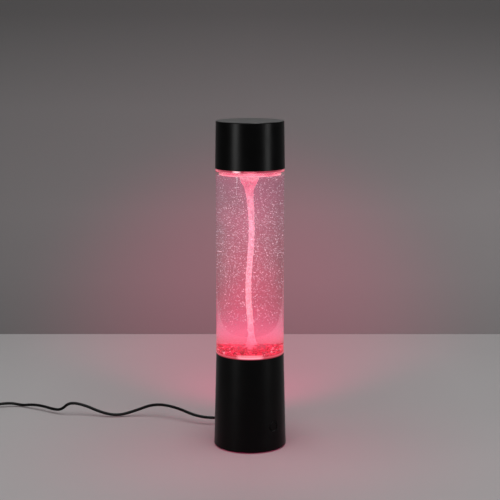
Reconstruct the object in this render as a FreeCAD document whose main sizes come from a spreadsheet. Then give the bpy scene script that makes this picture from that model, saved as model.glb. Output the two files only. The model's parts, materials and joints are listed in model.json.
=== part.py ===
import FreeCAD, Part
import math
import os
import re
import Sketcher

Vector = FreeCAD.Vector
Rotation = FreeCAD.Rotation
Placement = FreeCAD.Placement

# Driving sizes, in millimetres and degrees. Heights run up from the table.
SIZES = {
    # clear tank
    "tube_radius": 35,
    "tube_wall": 3,
    "tube_length": 186.5,
    "fit_gap": 0.2,
    "floor_rim_thick": 3,
    "floor_thick": 4,
    "window_inset": 3.4,
    "plug_rim_thick": 2.5,
    "plug_skirt": 3.2,
    "plug_skirt_wall": 3,
    "plug_web": 3.5,
    "plug_boss_gap": 0.6,
    "plug_boss_height": 11,
    "plug_boss_wall": 3,
    # base housing
    "foot_lift": 1,
    "base_height": 97,
    "base_foot_radius": 37.5,
    "base_wall": 2.5,
    "base_edge": 0.8,
    "deck_drop": 7.5,
    "deck_thick": 3,
    "plate_thick": 2.5,
    "plate_gap": 0.25,
    "foot_pad_radius": 5,
    "foot_pad_inset": 9.1,
    "foot_pad_sink": 1.2,
    "foot_pad_count": 4,
    # cap
    "cap_height": 48.25,
    "cap_lip": 0.5,
    "cap_taper": 0.8,
    "cap_wall": 2.4,
    "cap_top_thick": 2.5,
    "cap_edge": 1.4,
    "cap_ring_radius": 1.1,
    "cap_ring_height": 5,
    "cap_ring_proud": 0.25,
    # filler in the plug
    "filler_radius": 4.5,
    "filler_boss_radius": 8,
    "filler_boss_height": 5.5,
    "filler_head_radius": 8.5,
    "filler_head_thick": 3,
    "filler_depth": 8,
    "filler_seal_thick": 1.2,
    "filler_slot": 1.4,
    # motor and what turns with it
    "mount_drop": 7.5,
    "mount_thick": 2.5,
    "mount_gap": 1.5,
    "motor_radius": 12.2,
    "motor_length": 30.8,
    "motor_collar_radius": 3,
    "motor_collar_height": 1.5,
    "motor_end_radius": 10.5,
    "motor_end_thick": 2,
    "motor_tab_length": 4,
    "motor_tab_spread": 6,
    "motor_screw_circle": 8.5,
    "bush_radius": 2.2,
    "bush_length": 4,
    "shaft_radius": 1,
    "shaft_bury": 12,
    "shaft_reach": 14,
    "running_gap": 0.06,
    "carrier_radius": 11.5,
    "carrier_thick": 6,
    "carrier_hub_radius": 4,
    "carrier_hub_length": 6,
    "carrier_gap": 1,
    "magnet_radius": 4,
    "magnet_thick": 3,
    "magnet_circle": 7,
    "magnet_gap": 0.05,
    # impeller in the water
    "pin_radius": 1.5,
    "pin_bury": 2.6,
    "washer_radius": 3.2,
    "washer_thick": 0.4,
    "impeller_gap": 0.3,
    "impeller_radius": 13,
    "impeller_thick": 2.4,
    "impeller_hub_radius": 3.2,
    "impeller_hub_height": 2.7,
    "blade_height": 2.2,
    "blade_thick": 1.2,
    "blade_count": 6,
    "blade_inset": 0.8,
    "pole_radius": 3,
    "pole_thick": 2,
    "clip_radius": 2.8,
    "clip_thick": 0.7,
    "clip_gap": 0.3,
    "pin_tip": 0.4,
    # water and the air core of its whirl
    "water_gap": 0.3,
    "water_drop": 3.5,
    "swirl_room": 1,
    "whirl_radius": 2,
    "whirl_mouth": 8.5,
    "whirl_fall": 9,
    "whirl_sway": 1.3,
    "whirl_pitch": 124,
    "whirl_crest": 229,
    "whirl_sections": 24,
    # light ring
    "led_board_thick": 1.6,
    "led_board_bore_gap": 1.1,
    "led_board_gap": 0.4,
    "led_board_lap": 3.8,
    "led_side": 5,
    "led_thick": 1.6,
    "led_edge_gap": 1.8,
    "led_count": 6,
    # screws
    "screw_gap": 0.05,
    "base_screw_radius": 1.3,
    "base_screw_head": 2.5,
    "base_screw_length": 11,
    "base_post_radius": 3.5,
    "base_post_bite": 0.1,
    "base_post_height": 20,
    "base_post_azimuth": 15,
    "screw_head_thick": 1.5,
    "mount_post_radius": 2.7,
    "post_inset": 6.6,
    "mount_post_azimuth": 30,
    "mount_screw_radius": 1.1,
    "mount_screw_head": 2.1,
    "mount_screw_length": 8,
    "tank_screw_radius": 1.2,
    "tank_screw_head": 2.2,
    "tank_screw_length": 8,
    "tank_screw_azimuth": 90,
    "ring_screw_radius": 0.8,
    "ring_screw_head": 1.4,
    "ring_screw_length": 4,
    "motor_screw_radius": 1.25,
    "motor_screw_head": 2.2,
    "motor_screw_length": 5,
    "post_count": 3,
    "pilot_spare": 1,
    "socket_share": 0.5,
    # button, switch and control board
    "button_azimuth": -49,
    "button_height": 26.5,
    "button_radius": 4.75,
    "button_gap": 0.5,
    "button_rim": 1,
    "button_rim_thick": 0.9,
    "button_seat_gap": 0.85,
    "button_sink": 0.15,
    "button_bevel": 0.4,
    "switch_depth": 4,
    "switch_side": 7,
    "switch_stem_radius": 1.6,
    "switch_stem_gap": 0.15,
    "switch_stem_bury": 1.5,
    "switch_bore": 3,
    "switch_room": 3.6,
    "board_thick": 1.6,
    "board_width": 32,
    "board_drop": 4.6,
    "guide_depth": 5.6,
    "guide_width": 4,
    "guide_height": 14,
    "guide_grip": 1.4,
    "guide_gap": 0.1,
    "chip_length": 5,
    "chip_width": 4,
    "chip_thick": 1.5,
    "chip_drop": 6,
    "capacitor_radius": 2.5,
    "capacitor_length": 7,
    "capacitor_side": 9,
    "capacitor_drop": 2,
    "plug_in_depth": 6,
    "plug_in_width": 16,
    "plug_in_height": 5,
    "plug_in_drop": 3.1,
    "wire_radius": 0.65,
    "wire_pitch": 3,
    "wire_bow": 5,
    # lead
    "cord_radius": 1.6,
    "cord_height": 9,
    "cord_bore_gap": 0.05,
    "relief_length": 11.6,
    "relief_radius": 3.8,
    "relief_tip_radius": 2.4,
    "relief_neck_radius": 3.4,
    "relief_flange_radius": 5,
    "relief_flange_thick": 2,
    "relief_gap": 0.1,
    "relief_sink": 0.6,
    "relief_stand": 0.15,
    "inner_turn": 16,
    "inner_run": 13.4,
    "solder_side": -6,
    "solder_height": 11,
    "coil_x": -318,
    "coil_y": 107.8,
    "coil_inner": 12.35,
    "coil_side_gap": 0.55,
    "coil_layer_gap": 0.5,
    "cord_last_run": 13.3,
    "tail_run": 12,
    "tail_fall": 14,
    "tie_thick": 0.6,
    "tie_gap": 0.15,
    "tie_side_gap": 0.3,
    "tie_width": 8,
    "usb_boot_length": 13,
    "usb_boot_radius": 3.4,
    "usb_boot_tip_radius": 2.3,
    "usb_body_length": 24,
    "usb_body_width": 15.5,
    "usb_body_thick": 8,
    "usb_body_edge": 1.8,
    "usb_shell_length": 12,
    "usb_shell_width": 12,
    "usb_shell_thick": 4.5,
    "usb_shell_wall": 0.35,
    "usb_window": 2.2,
    "usb_window_spread": 2.9,
    "usb_window_inset": 4.5,
    "usb_tongue_thick": 1.9,
    "usb_tongue_gap": 0.05,
    "usb_contact_width": 1,
    "usb_contact_thick": 0.15,
    "usb_contact_pitch": 2.3,
}

# The lead's free run on the table, from behind the base to the coil: x, y and height of its middle.
CORD_ROUTE = [
    (0, 59, 9),
    (-8, 67.5, 8.4),
    (-22, 70, 7.6),
    (-41, 65, 7.2),
    (-60, 69, 8.6),
    (-83, 85, 14.2),
    (-107, 97, 14.6),
    (-130, 97.5, 5.6),
    (-148, 93, 1.7),
    (-166, 95, 4.6),
    (-187, 102.5, 11.6),
    (-203, 102, 14.6),
    (-212, 102.5, 6),
    (-221, 108.5, 4.2),
    (-237, 119, 5.8),
    (-251, 128, 4.4),
    (-261, 134, 1.7),
    (-274, 136, 4),
    (-287.5, 131, 4.2),
]
# Where the coil's spiral turns back and climbs a layer, and where it ends, in turns from its start.
COIL_REVERSALS = (2.5, 5.25, 8)
COIL_TURNS = 10.25

doc = FreeCAD.newDocument("tornado_lamp")
sheet = doc.addObject("Spreadsheet::Sheet", "Sizes")
for row, (alias, size) in enumerate(SIZES.items(), start=1):
    sheet.set(f"A{row}", alias)
    sheet.set(f"B{row}", str(size))
    sheet.setAlias(f"B{row}", alias)
doc.recompute()


# Heights and radii that follow from the sizes, as expressions over the sheet.
RIM = "(foot_lift + base_height)"
DECK_TOP = f"({RIM} - deck_drop)"
DECK_BOTTOM = f"({DECK_TOP} - deck_thick)"
FLOOR_TOP = f"({RIM} + floor_rim_thick)"
FLOOR_BOTTOM = f"({FLOOR_TOP} - floor_thick)"
TUBE_TOP = f"({FLOOR_TOP} + tube_length)"
PLUG_RIM = f"({TUBE_TOP} + plug_rim_thick)"
TUBE_BORE = "(tube_radius - tube_wall)"
SPIGOT = f"({TUBE_BORE} - fit_gap)"
PLATE_TOP = "(foot_lift + plate_thick)"
MOUNT_TOP = f"({DECK_BOTTOM} - mount_drop)"
MOTOR_TOP = f"({MOUNT_TOP} - mount_thick)"
MOTOR_BOTTOM = f"({MOTOR_TOP} - motor_length)"
CARRIER_TOP = f"({FLOOR_BOTTOM} - carrier_gap)"
CARRIER_BOTTOM = f"({CARRIER_TOP} - carrier_thick)"
IMPELLER_BOTTOM = f"({FLOOR_TOP} + washer_thick + impeller_gap)"
IMPELLER_DISC = f"({IMPELLER_BOTTOM} + impeller_thick)"
IMPELLER_TOP = f"({IMPELLER_DISC} + impeller_hub_height)"
PIN_TOP = f"({IMPELLER_TOP} + clip_gap + clip_thick + pin_tip)"
WATER_TOP = f"({TUBE_TOP} - water_drop)"
WEB_TOP = f"({TUBE_TOP} + plug_web)"
FILLER_TOP = f"({WEB_TOP} + filler_boss_height)"
CAP_FOOT = "(tube_radius + cap_lip)"
CAP_TOP = f"({CAP_FOOT} - cap_taper)"
PLUG_BOSS = f"({CAP_FOOT} - cap_wall - plug_boss_gap)"
POST_CIRCLE = "(tube_radius - post_inset)"
LED_OUTER = f"({POST_CIRCLE} - mount_post_radius - led_board_gap)"
LED_INNER = "(carrier_radius + led_board_bore_gap)"
DECK_OPENING = f"({LED_OUTER} - led_board_lap)"
LED_CIRCLE = f"({DECK_OPENING} - led_edge_gap - led_side / 2)"
COIL_STEP = "(2 * cord_radius + coil_side_gap)"
COIL_RISE = "(2 * cord_radius + coil_layer_gap)"
COIL_FOOT = "(tie_thick + tie_gap + cord_radius)"

# Rings of like places: radius of the circle, angle of the first and how many.
BASE_CIRCLE = "(base_foot_radius - base_wall - base_post_radius + base_post_bite)"
BASE_POSTS = (BASE_CIRCLE, "base_post_azimuth", "post_count")
MOUNT_POSTS = (POST_CIRCLE, "mount_post_azimuth", "post_count")
TANK_SCREWS = (POST_CIRCLE, "tank_screw_azimuth", "post_count")
RING_SCREWS = (f"({LED_OUTER} - led_board_lap / 2)", "mount_post_azimuth", "post_count")
MOTOR_SCREWS = ("motor_screw_circle", "mount_post_azimuth", "2")
MAGNETS = ("magnet_circle", "0", "2")
FOOT_PADS = (f"({BASE_CIRCLE} - foot_pad_inset)", "45", "foot_pad_count")

# Holes that a screw's shank passes or bites.
BASE_HOLE = "(base_screw_radius + screw_gap)"
MOUNT_HOLE = "(mount_screw_radius + screw_gap)"
TANK_HOLE = "(tank_screw_radius + screw_gap)"
RING_HOLE = "(ring_screw_radius + screw_gap)"
MOTOR_HOLE = "(motor_screw_radius + screw_gap)"
BUTTON_HOLE = "(button_radius + button_gap)"
CORD_HOLE = "(relief_neck_radius + relief_gap)"


def shell_radius(height):
    return f"(base_foot_radius - (base_foot_radius - tube_radius) * ({height} - foot_lift) / base_height)"


def cap_radius(height):
    return f"({CAP_FOOT} - cap_taper * ({height}) / cap_height)"


# The button's back, and the control board that stands behind its switch.
BUTTON_BACK = f"({shell_radius('button_height')} - base_wall - button_seat_gap - button_rim_thick)"
BOARD_FACE = f"({BUTTON_BACK} - switch_room - switch_depth)"
BOARD_BACK = f"({BOARD_FACE} - board_thick)"
BOARD_FOOT = f"({PLATE_TOP} + guide_gap)"
BOARD_TOP = f"({MOTOR_BOTTOM} - motor_end_thick - motor_tab_length - board_drop)"
PLUG_IN_TOP = f"({BOARD_TOP} - plug_in_drop)"
CHIP_FOOT = f"({PLUG_IN_TOP} - plug_in_height - chip_drop - chip_width)"


def linked(text):
    # an expression with each size's name led back to the sheet
    return re.sub(r"[a-z]\w*", lambda word: f"Sizes.{word[0]}" if word[0] in SIZES else word[0], str(text))


def measure(text):
    return float(sheet.evalExpression(linked(text)))


def bind(thing, **sizes):
    for name, text in sizes.items():
        thing.setExpression(name, linked(text))
    return thing


def put(thing, x="0", y="0", z="0", turn=None):
    # a placement whose three coordinates follow the sheet
    thing.Placement = Placement(Vector(), turn or Rotation())
    for axis, text in zip("xyz", (x, y, z)):
        thing.setExpression(f"Placement.Base.{axis}", linked(text))
    return thing


def round_about(ring, index=0):
    circle, first, count = ring
    angle = f"({first} + {index} * 360 / {count})"
    return f"{circle} * cos({angle})", f"{circle} * sin({angle})"


def at_board(thing, reach, side, height, turn=None):
    # a place told by its reach towards the button, its step sideways and its height
    azimuth = measure("button_azimuth")
    x = f"({reach}) * cos(button_azimuth) - ({side}) * sin(button_azimuth)"
    y = f"({reach}) * sin(button_azimuth) + ({side}) * cos(button_azimuth)"
    return put(thing, x, y, height, Rotation(Vector(0, 0, 1), azimuth) * (turn or Rotation()))


def board_point(reach, side, height):
    azimuth = math.radians(measure("button_azimuth"))
    reach, side, height = measure(reach), measure(side), measure(height)
    x = reach * math.cos(azimuth) - side * math.sin(azimuth)
    y = reach * math.sin(azimuth) + side * math.cos(azimuth)
    return Vector(x, y, height)


LAY_ALONG_X = Rotation(Vector(0, 1, 0), 90)
LAY_ALONG_BACK_X = Rotation(Vector(0, 1, 0), -90)
LAY_ALONG_Y = Rotation(Vector(1, 0, 0), -90)
LAY_ALONG_BACK_Y = Rotation(Vector(1, 0, 0), 90)
LAY_DOWN = Rotation(Vector(1, 0, 0), 180)


def origin_of(body, role):
    return next(datum for datum in body.Origin.OriginFeatures if datum.Role == role)


def turned(label, outline):
    # a body revolved from a closed outline of radius and height
    body = doc.addObject("PartDesign::Body", label)
    sketch = body.newObject("Sketcher::SketchObject", f"{label}_outline")
    sketch.AttachmentSupport = [(origin_of(body, "XZ_Plane"), "")]
    sketch.MapMode = "FlatFace"
    corners = [Vector(measure(radius), measure(height), 0) for radius, height in outline]
    count = len(corners)
    for index in range(count):
        sketch.addGeometry(Part.LineSegment(corners[index], corners[(index + 1) % count]), False)
    for index in range(count):
        sketch.addConstraint(Sketcher.Constraint("Coincident", index, 2, (index + 1) % count, 1))
    for index, (radius, height) in enumerate(outline):
        if radius == "0":
            sketch.addConstraint(Sketcher.Constraint("PointOnObject", index, 1, -2))
        else:
            pin_corner(sketch, "DistanceX", index, radius)
        if height == "0":
            sketch.addConstraint(Sketcher.Constraint("PointOnObject", index, 1, -1))
        else:
            pin_corner(sketch, "DistanceY", index, height)
    turn = body.newObject("PartDesign::Revolution", f"{label}_turn")
    turn.Profile = sketch
    turn.ReferenceAxis = (sketch, ["V_Axis"])
    turn.Angle = 360
    doc.recompute()
    return body


def ring_body(label, bore, radius, foot, top):
    return turned(label, [(bore, foot), (radius, foot), (radius, top), (bore, top)])


def disc_body(label, radius, foot, top):
    return turned(label, [("0", foot), (radius, foot), (radius, top), ("0", top)])


def pin_corner(sketch, kind, index, text):
    number = sketch.addConstraint(Sketcher.Constraint(kind, -1, 1, index, 1, measure(text)))
    sketch.setExpression(f"Constraints[{number}]", linked(text))


def feature(body, kind, name, **sizes):
    return bind(body.newObject(f"PartDesign::{kind}", name), **sizes)


def around(body, thing, count):
    # repeats a feature about the lamp's axis
    pattern = body.newObject("PartDesign::PolarPattern", f"{thing.Name}_ring")
    pattern.Originals = [thing]
    pattern.Axis = (origin_of(body, "Z_Axis"), [""])
    pattern.Angle = 360
    bind(pattern, Occurrences=count)
    body.Tip = pattern
    doc.recompute()


def drill(body, name, radius, depth, ring, height):
    before = body.Shape.Volume
    hole = feature(body, "SubtractiveCylinder", name, Radius=radius, Height=depth)
    put(hole, *round_about(ring), height)
    doc.recompute()
    around(body, hole, ring[2])
    if body.Shape.Volume >= before:
        raise RuntimeError(f"{name} cuts nothing")


def posts(body, name, radius, tall, ring, height):
    post = feature(body, "AdditiveCylinder", name, Radius=radius, Height=tall)
    put(post, *round_about(ring), height)
    doc.recompute()
    around(body, post, ring[2])


def soften(body, name, size, places):
    # rounds the circular edges that lie at the given radius and height
    base = body.Tip
    edges = []
    for number, edge in enumerate(base.Shape.Edges, start=1):
        curve = edge.Curve
        if not isinstance(curve, Part.Circle):
            continue
        for radius, height in places:
            if abs(curve.Radius - measure(radius)) < 0.01 and abs(curve.Center.z - measure(height)) < 0.01:
                edges.append(f"Edge{number}")
    rounding = body.newObject("PartDesign::Fillet", name)
    rounding.Base = (base, edges)
    bind(rounding, Radius=size)
    body.Tip = rounding
    doc.recompute()


def block(name, length, width, height):
    return bind(doc.addObject("Part::Box", name), Length=length, Width=width, Height=height)


def rod(name, radius, height):
    return bind(doc.addObject("Part::Cylinder", name), Radius=radius, Height=height)


def less(label, base, tool):
    cut = doc.addObject("Part::Cut", label)
    cut.Base = base
    cut.Tool = tool
    doc.recompute()
    return cut


def group(label, things):
    together = doc.addObject("Part::Compound", label)
    together.Links = things
    doc.recompute()
    return together


def screw_outline(radius, head, length):
    # head down, shank up, with a socket in the head
    socket = f"({head} * socket_share)"
    depth = "(screw_head_thick * socket_share)"
    return [
        (socket, "0"),
        (head, "0"),
        (head, "screw_head_thick"),
        (radius, "screw_head_thick"),
        (radius, f"({length} + screw_head_thick)"),
        ("0", f"({length} + screw_head_thick)"),
        ("0", depth),
        (socket, depth),
    ]


def screws(label, prefix, ring, height, turn=None):
    made = []
    outline = screw_outline(f"{prefix}_radius", f"{prefix}_head", f"{prefix}_length")
    for index in range(int(measure(ring[2]))):
        screw = turned(f"{label}_{index + 1}", outline)
        put(screw, *round_about(ring, index), height, turn)
        made.append(screw)
    return group(label, made)


def solid_feature(label, shape):
    thing = doc.addObject("Part::Feature", label)
    thing.Shape = shape
    return thing


def rounded_path(points, radii=None):
    # straight runs joined by tangent arcs; an arc is as large as its two runs allow
    edges = []
    start = points[0]
    for index in range(1, len(points) - 1):
        corner = points[index]
        back = points[index - 1] - corner
        ahead = points[index + 1] - corner
        shorter = min(back.Length, ahead.Length)
        turn = math.pi - back.getAngle(ahead)
        trim = 0.45 * shorter
        radius = trim / math.tan(turn / 2)
        if radii is not None:
            radii.append(radius)
        back.normalize()
        ahead.normalize()
        inward = (back + ahead).normalize()
        entry = corner + back * trim
        leave = corner + ahead * trim
        middle = corner + inward * (radius / math.cos(turn / 2) - radius)
        edges.append(Part.LineSegment(start, entry).toShape())
        edges.append(Part.Arc(entry, middle, leave).toShape())
        start = leave
    edges.append(Part.LineSegment(start, points[-1]).toShape())
    return Part.Wire(edges)


def tube_along(path, radius):
    first = path.Edges[0]
    start = first.valueAt(first.FirstParameter)
    heading = first.tangentAt(first.FirstParameter)
    profile = Part.Wire(Part.Circle(start, heading, radius).toShape())
    shell = Part.BRepOffsetAPI.MakePipeShell(path)
    shell.add(profile)
    shell.build()
    shell.makeSolid()
    return shell.shape()


def check_tube(name, shape, path, radius):
    expected = math.pi * radius**2 * path.Length
    print(f"{name}: length {path.Length:.1f}, volume {shape.Volume / expected:.4f} of section times length")


def wires(label, routes):
    solids = []
    for points in routes:
        path = rounded_path(points)
        solids.append(tube_along(path, measure("wire_radius")))
    return solid_feature(label, Part.Compound(solids))


# Base housing: tapered shell with a deck across its upper end
def base_shell():
    inner = f"{shell_radius(DECK_BOTTOM)} - base_wall"
    body = turned(
        "base_shell",
        [
            ("base_foot_radius - base_wall", "foot_lift"),
            ("base_foot_radius", "foot_lift"),
            ("tube_radius", RIM),
            (TUBE_BORE, RIM),
            (TUBE_BORE, DECK_TOP),
            (DECK_OPENING, DECK_TOP),
            (DECK_OPENING, DECK_BOTTOM),
            (inner, DECK_BOTTOM),
        ],
    )
    posts(body, "base_post", "base_post_radius", "base_post_height", BASE_POSTS, PLATE_TOP)
    posts(body, "mount_post", "mount_post_radius", "mount_drop", MOUNT_POSTS, MOUNT_TOP)
    bite = "mount_screw_length - mount_thick + pilot_spare"
    ring_bite = "ring_screw_length - led_board_thick + screw_gap"
    drill(body, "base_pilot", BASE_HOLE, "base_screw_length", BASE_POSTS, PLATE_TOP)
    drill(body, "mount_pilot", MOUNT_HOLE, bite, MOUNT_POSTS, MOUNT_TOP)
    drill(body, "tank_hole", TANK_HOLE, "deck_thick", TANK_SCREWS, DECK_BOTTOM)
    drill(body, "ring_pilot", RING_HOLE, ring_bite, RING_SCREWS, DECK_BOTTOM)
    before = body.Shape.Volume
    through = "4 * base_wall"
    button_hole = feature(body, "SubtractiveCylinder", "button_hole", Radius=BUTTON_HOLE, Height=through)
    start = f"{shell_radius('button_height')} - 3 * base_wall"
    at_board(button_hole, start, "0", "button_height", LAY_ALONG_X)
    doc.recompute()
    cord_hole = feature(body, "SubtractiveCylinder", "cord_hole", Radius=CORD_HOLE, Height=through)
    put(cord_hole, "0", f"{shell_radius('cord_height')} - 3 * base_wall", "cord_height", LAY_ALONG_Y)
    doc.recompute()
    if body.Shape.Volume >= before:
        raise RuntimeError("the button and cord holes cut nothing")
    soften(body, "shell_foot_edge", "base_edge", [("base_foot_radius", "foot_lift")])
    return body


def base_plate():
    body = turned(
        "base_plate",
        [
            ("0", "foot_lift"),
            ("base_foot_radius - base_wall - plate_gap", "foot_lift"),
            ("base_foot_radius - base_wall - plate_gap", PLATE_TOP),
            ("0", PLATE_TOP),
        ],
    )
    half = "(board_width / 2 + guide_gap)"
    guide_foot = f"{BOARD_BACK} + board_thick / 2 - guide_depth / 2"
    places = {"left": f"{half} - guide_grip", "right": f"guide_grip - {half} - guide_width"}
    for name, side in places.items():
        guide = feature(body, "AdditiveBox", f"guide_{name}")
        bind(guide, Length="guide_depth", Width="guide_width", Height="guide_height")
        at_board(guide, guide_foot, side, PLATE_TOP)
        doc.recompute()
    slot = feature(body, "SubtractiveBox", "guide_slot")
    bind(slot, Length="board_thick + 2 * guide_gap", Width=f"2 * {half}", Height="guide_height")
    at_board(slot, f"{BOARD_BACK} - guide_gap", f"-{half}", PLATE_TOP)
    doc.recompute()
    seat = "base_screw_head + fit_gap"
    drill(body, "screw_hole", BASE_HOLE, "plate_thick", BASE_POSTS, "foot_lift")
    drill(body, "screw_seat", seat, "screw_head_thick + fit_gap", BASE_POSTS, "foot_lift")
    drill(body, "pad_seat", "foot_pad_radius", "foot_pad_sink", FOOT_PADS, "foot_lift")
    return body


def rubber_feet():
    pads = []
    tall = "(foot_lift + foot_pad_sink)"
    edge = "(foot_pad_radius - base_edge)"
    wide = "foot_pad_radius"
    outline = [("0", "0"), (edge, "0"), (wide, "foot_lift"), (wide, tall), ("0", tall)]
    for index in range(int(measure("foot_pad_count"))):
        pad = turned(f"rubber_foot_{index + 1}", outline)
        put(pad, *round_about(FOOT_PADS, index), "0")
        pads.append(pad)
    return group("rubber_feet", pads)


# Motor, hung under the deck on a round plate
def motor_mount():
    radius = f"{shell_radius(MOUNT_TOP)} - base_wall - mount_gap"
    body = turned(
        "motor_mount",
        [
            ("motor_collar_radius + fit_gap", MOTOR_TOP),
            (radius, MOTOR_TOP),
            (radius, MOUNT_TOP),
            ("motor_collar_radius + fit_gap", MOUNT_TOP),
        ],
    )
    notch = feature(body, "SubtractiveBox", "wire_notch")
    bind(notch, Length="tube_radius", Width="4 * wire_pitch", Height="mount_thick")
    at_board(notch, f"{BOARD_BACK} - plug_in_depth / 2 - wire_pitch", "-2 * wire_pitch", MOTOR_TOP)
    doc.recompute()
    drill(body, "plate_hole", MOUNT_HOLE, "mount_thick", MOUNT_POSTS, MOTOR_TOP)
    drill(body, "motor_hole", MOTOR_HOLE, "mount_thick", MOTOR_SCREWS, MOTOR_TOP)
    return body


def motor():
    collar_top = f"({MOTOR_TOP} + motor_collar_height)"
    bush_foot = f"({collar_top} - bush_length)"
    shaft_bore = "(shaft_radius + running_gap)"
    shaft_foot = f"({MOTOR_TOP} - shaft_bury)"
    can = turned(
        "motor_can",
        [
            ("0", MOTOR_BOTTOM),
            ("motor_radius", MOTOR_BOTTOM),
            ("motor_radius", MOTOR_TOP),
            ("motor_collar_radius", MOTOR_TOP),
            ("motor_collar_radius", collar_top),
            ("bush_radius + screw_gap", collar_top),
            ("bush_radius + screw_gap", bush_foot),
            (shaft_bore, bush_foot),
            (shaft_bore, f"{shaft_foot} - running_gap"),
            ("0", f"{shaft_foot} - running_gap"),
        ],
    )
    sunk = "(motor_screw_length - mount_thick + screw_gap)"
    drill(can, "can_thread", MOTOR_HOLE, sunk, MOTOR_SCREWS, f"{MOTOR_TOP} - {sunk}")
    bush = ring_body("motor_bush", shaft_bore, "bush_radius", bush_foot, collar_top)
    end_foot = f"({MOTOR_BOTTOM} - motor_end_thick)"
    end = disc_body("motor_end_cap", "motor_end_radius", end_foot, MOTOR_BOTTOM)
    tabs = []
    for side in (-1, 1):
        tab = block(f"motor_tab_{side + 2}", "wire_radius", "4 * wire_radius", "motor_tab_length")
        step = f"{side} * motor_tab_spread - 2 * wire_radius"
        at_board(tab, "-wire_radius / 2", step, f"{end_foot} - motor_tab_length")
        tabs.append(tab)
    shaft = disc_body("motor_shaft", "shaft_radius", shaft_foot, f"({MOTOR_TOP} + shaft_reach)")
    return [can, bush, end, group("motor_terminals", tabs), shaft]


def magnet_carrier():
    hub_foot = f"({CARRIER_BOTTOM} - carrier_hub_length)"
    bore_top = f"({MOTOR_TOP} + shaft_reach + fit_gap)"
    body = turned(
        "magnet_carrier",
        [
            ("shaft_radius", hub_foot),
            ("carrier_hub_radius", hub_foot),
            ("carrier_hub_radius", CARRIER_BOTTOM),
            ("carrier_radius", CARRIER_BOTTOM),
            ("carrier_radius", CARRIER_TOP),
            ("0", CARRIER_TOP),
            ("0", bore_top),
            ("shaft_radius", bore_top),
        ],
    )
    pocket = "magnet_radius + magnet_gap"
    drill(body, "magnet_pocket", pocket, "magnet_thick", MAGNETS, f"{CARRIER_TOP} - magnet_thick")
    return body


def discs(label, radius, thick, height):
    made = []
    for index in range(2):
        disc = rod(f"{label}_{index + 1}", radius, thick)
        put(disc, *round_about(MAGNETS, index), height)
        made.append(disc)
    return group(label, made)


# Light ring under the deck's opening
def led_board():
    foot = f"({DECK_BOTTOM} - led_board_thick)"
    body = ring_body("led_board", LED_INNER, LED_OUTER, foot, DECK_BOTTOM)
    drill(body, "ring_hole", RING_HOLE, "led_board_thick", RING_SCREWS, foot)
    return body


def leds():
    made = []
    for index in range(int(measure("led_count"))):
        angle = index * 360 / measure("led_count")
        led = block(f"led_{index + 1}", "led_side", "led_side", "led_thick")
        near = f"({LED_CIRCLE} - led_side / 2)"
        x = f"{near} * cos({angle}) + led_side / 2 * sin({angle})"
        y = f"{near} * sin({angle}) - led_side / 2 * cos({angle})"
        put(led, x, y, DECK_BOTTOM, Rotation(Vector(0, 0, 1), angle))
        made.append(led)
    return group("leds", made)


# Clear tank: tube, glued floor and glued plug
def tube():
    return ring_body("tube", TUBE_BORE, "tube_radius", FLOOR_TOP, TUBE_TOP)


def tank_floor():
    hole_foot = f"({FLOOR_TOP} - pin_bury)"
    window = f"({POST_CIRCLE} - window_inset)"
    body = turned(
        "tank_floor",
        [
            ("0", FLOOR_BOTTOM),
            (window, FLOOR_BOTTOM),
            (window, DECK_TOP),
            (SPIGOT, DECK_TOP),
            (SPIGOT, RIM),
            ("tube_radius", RIM),
            ("tube_radius", FLOOR_TOP),
            ("pin_radius + screw_gap", FLOOR_TOP),
            ("pin_radius + screw_gap", hole_foot),
            ("0", hole_foot),
        ],
    )
    depth = "tank_screw_length - deck_thick + screw_gap"
    drill(body, "tank_pilot", TANK_HOLE, depth, TANK_SCREWS, DECK_TOP)
    return body


def tube_plug():
    skirt_foot = f"({TUBE_TOP} - plug_skirt)"
    skirt_bore = f"({SPIGOT} - plug_skirt_wall)"
    boss_top = f"({PLUG_RIM} + plug_boss_height)"
    boss_bore = f"({PLUG_BOSS} - plug_boss_wall)"
    groove = f"({PLUG_BOSS} + cap_ring_proud - 2 * cap_ring_radius - screw_gap)"
    groove_foot = f"({PLUG_RIM} + cap_ring_height - cap_ring_radius - screw_gap)"
    groove_top = f"({PLUG_RIM} + cap_ring_height + cap_ring_radius + screw_gap)"
    return turned(
        "tube_plug",
        [
            (skirt_bore, skirt_foot),
            (SPIGOT, skirt_foot),
            (SPIGOT, TUBE_TOP),
            ("tube_radius", TUBE_TOP),
            ("tube_radius", PLUG_RIM),
            (PLUG_BOSS, PLUG_RIM),
            (PLUG_BOSS, groove_foot),
            (groove, groove_foot),
            (groove, groove_top),
            (PLUG_BOSS, groove_top),
            (PLUG_BOSS, boss_top),
            (boss_bore, boss_top),
            (boss_bore, WEB_TOP),
            ("filler_boss_radius", WEB_TOP),
            ("filler_boss_radius", FILLER_TOP),
            ("filler_radius", FILLER_TOP),
            ("filler_radius", TUBE_TOP),
            (skirt_bore, TUBE_TOP),
        ],
    )


def cap_ring():
    ring = bind(
        doc.addObject("Part::Torus", "cap_ring"),
        Radius1=f"{PLUG_BOSS} + cap_ring_proud - cap_ring_radius",
        Radius2="cap_ring_radius",
    )
    return put(ring, z=f"{PLUG_RIM} + cap_ring_height")


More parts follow.
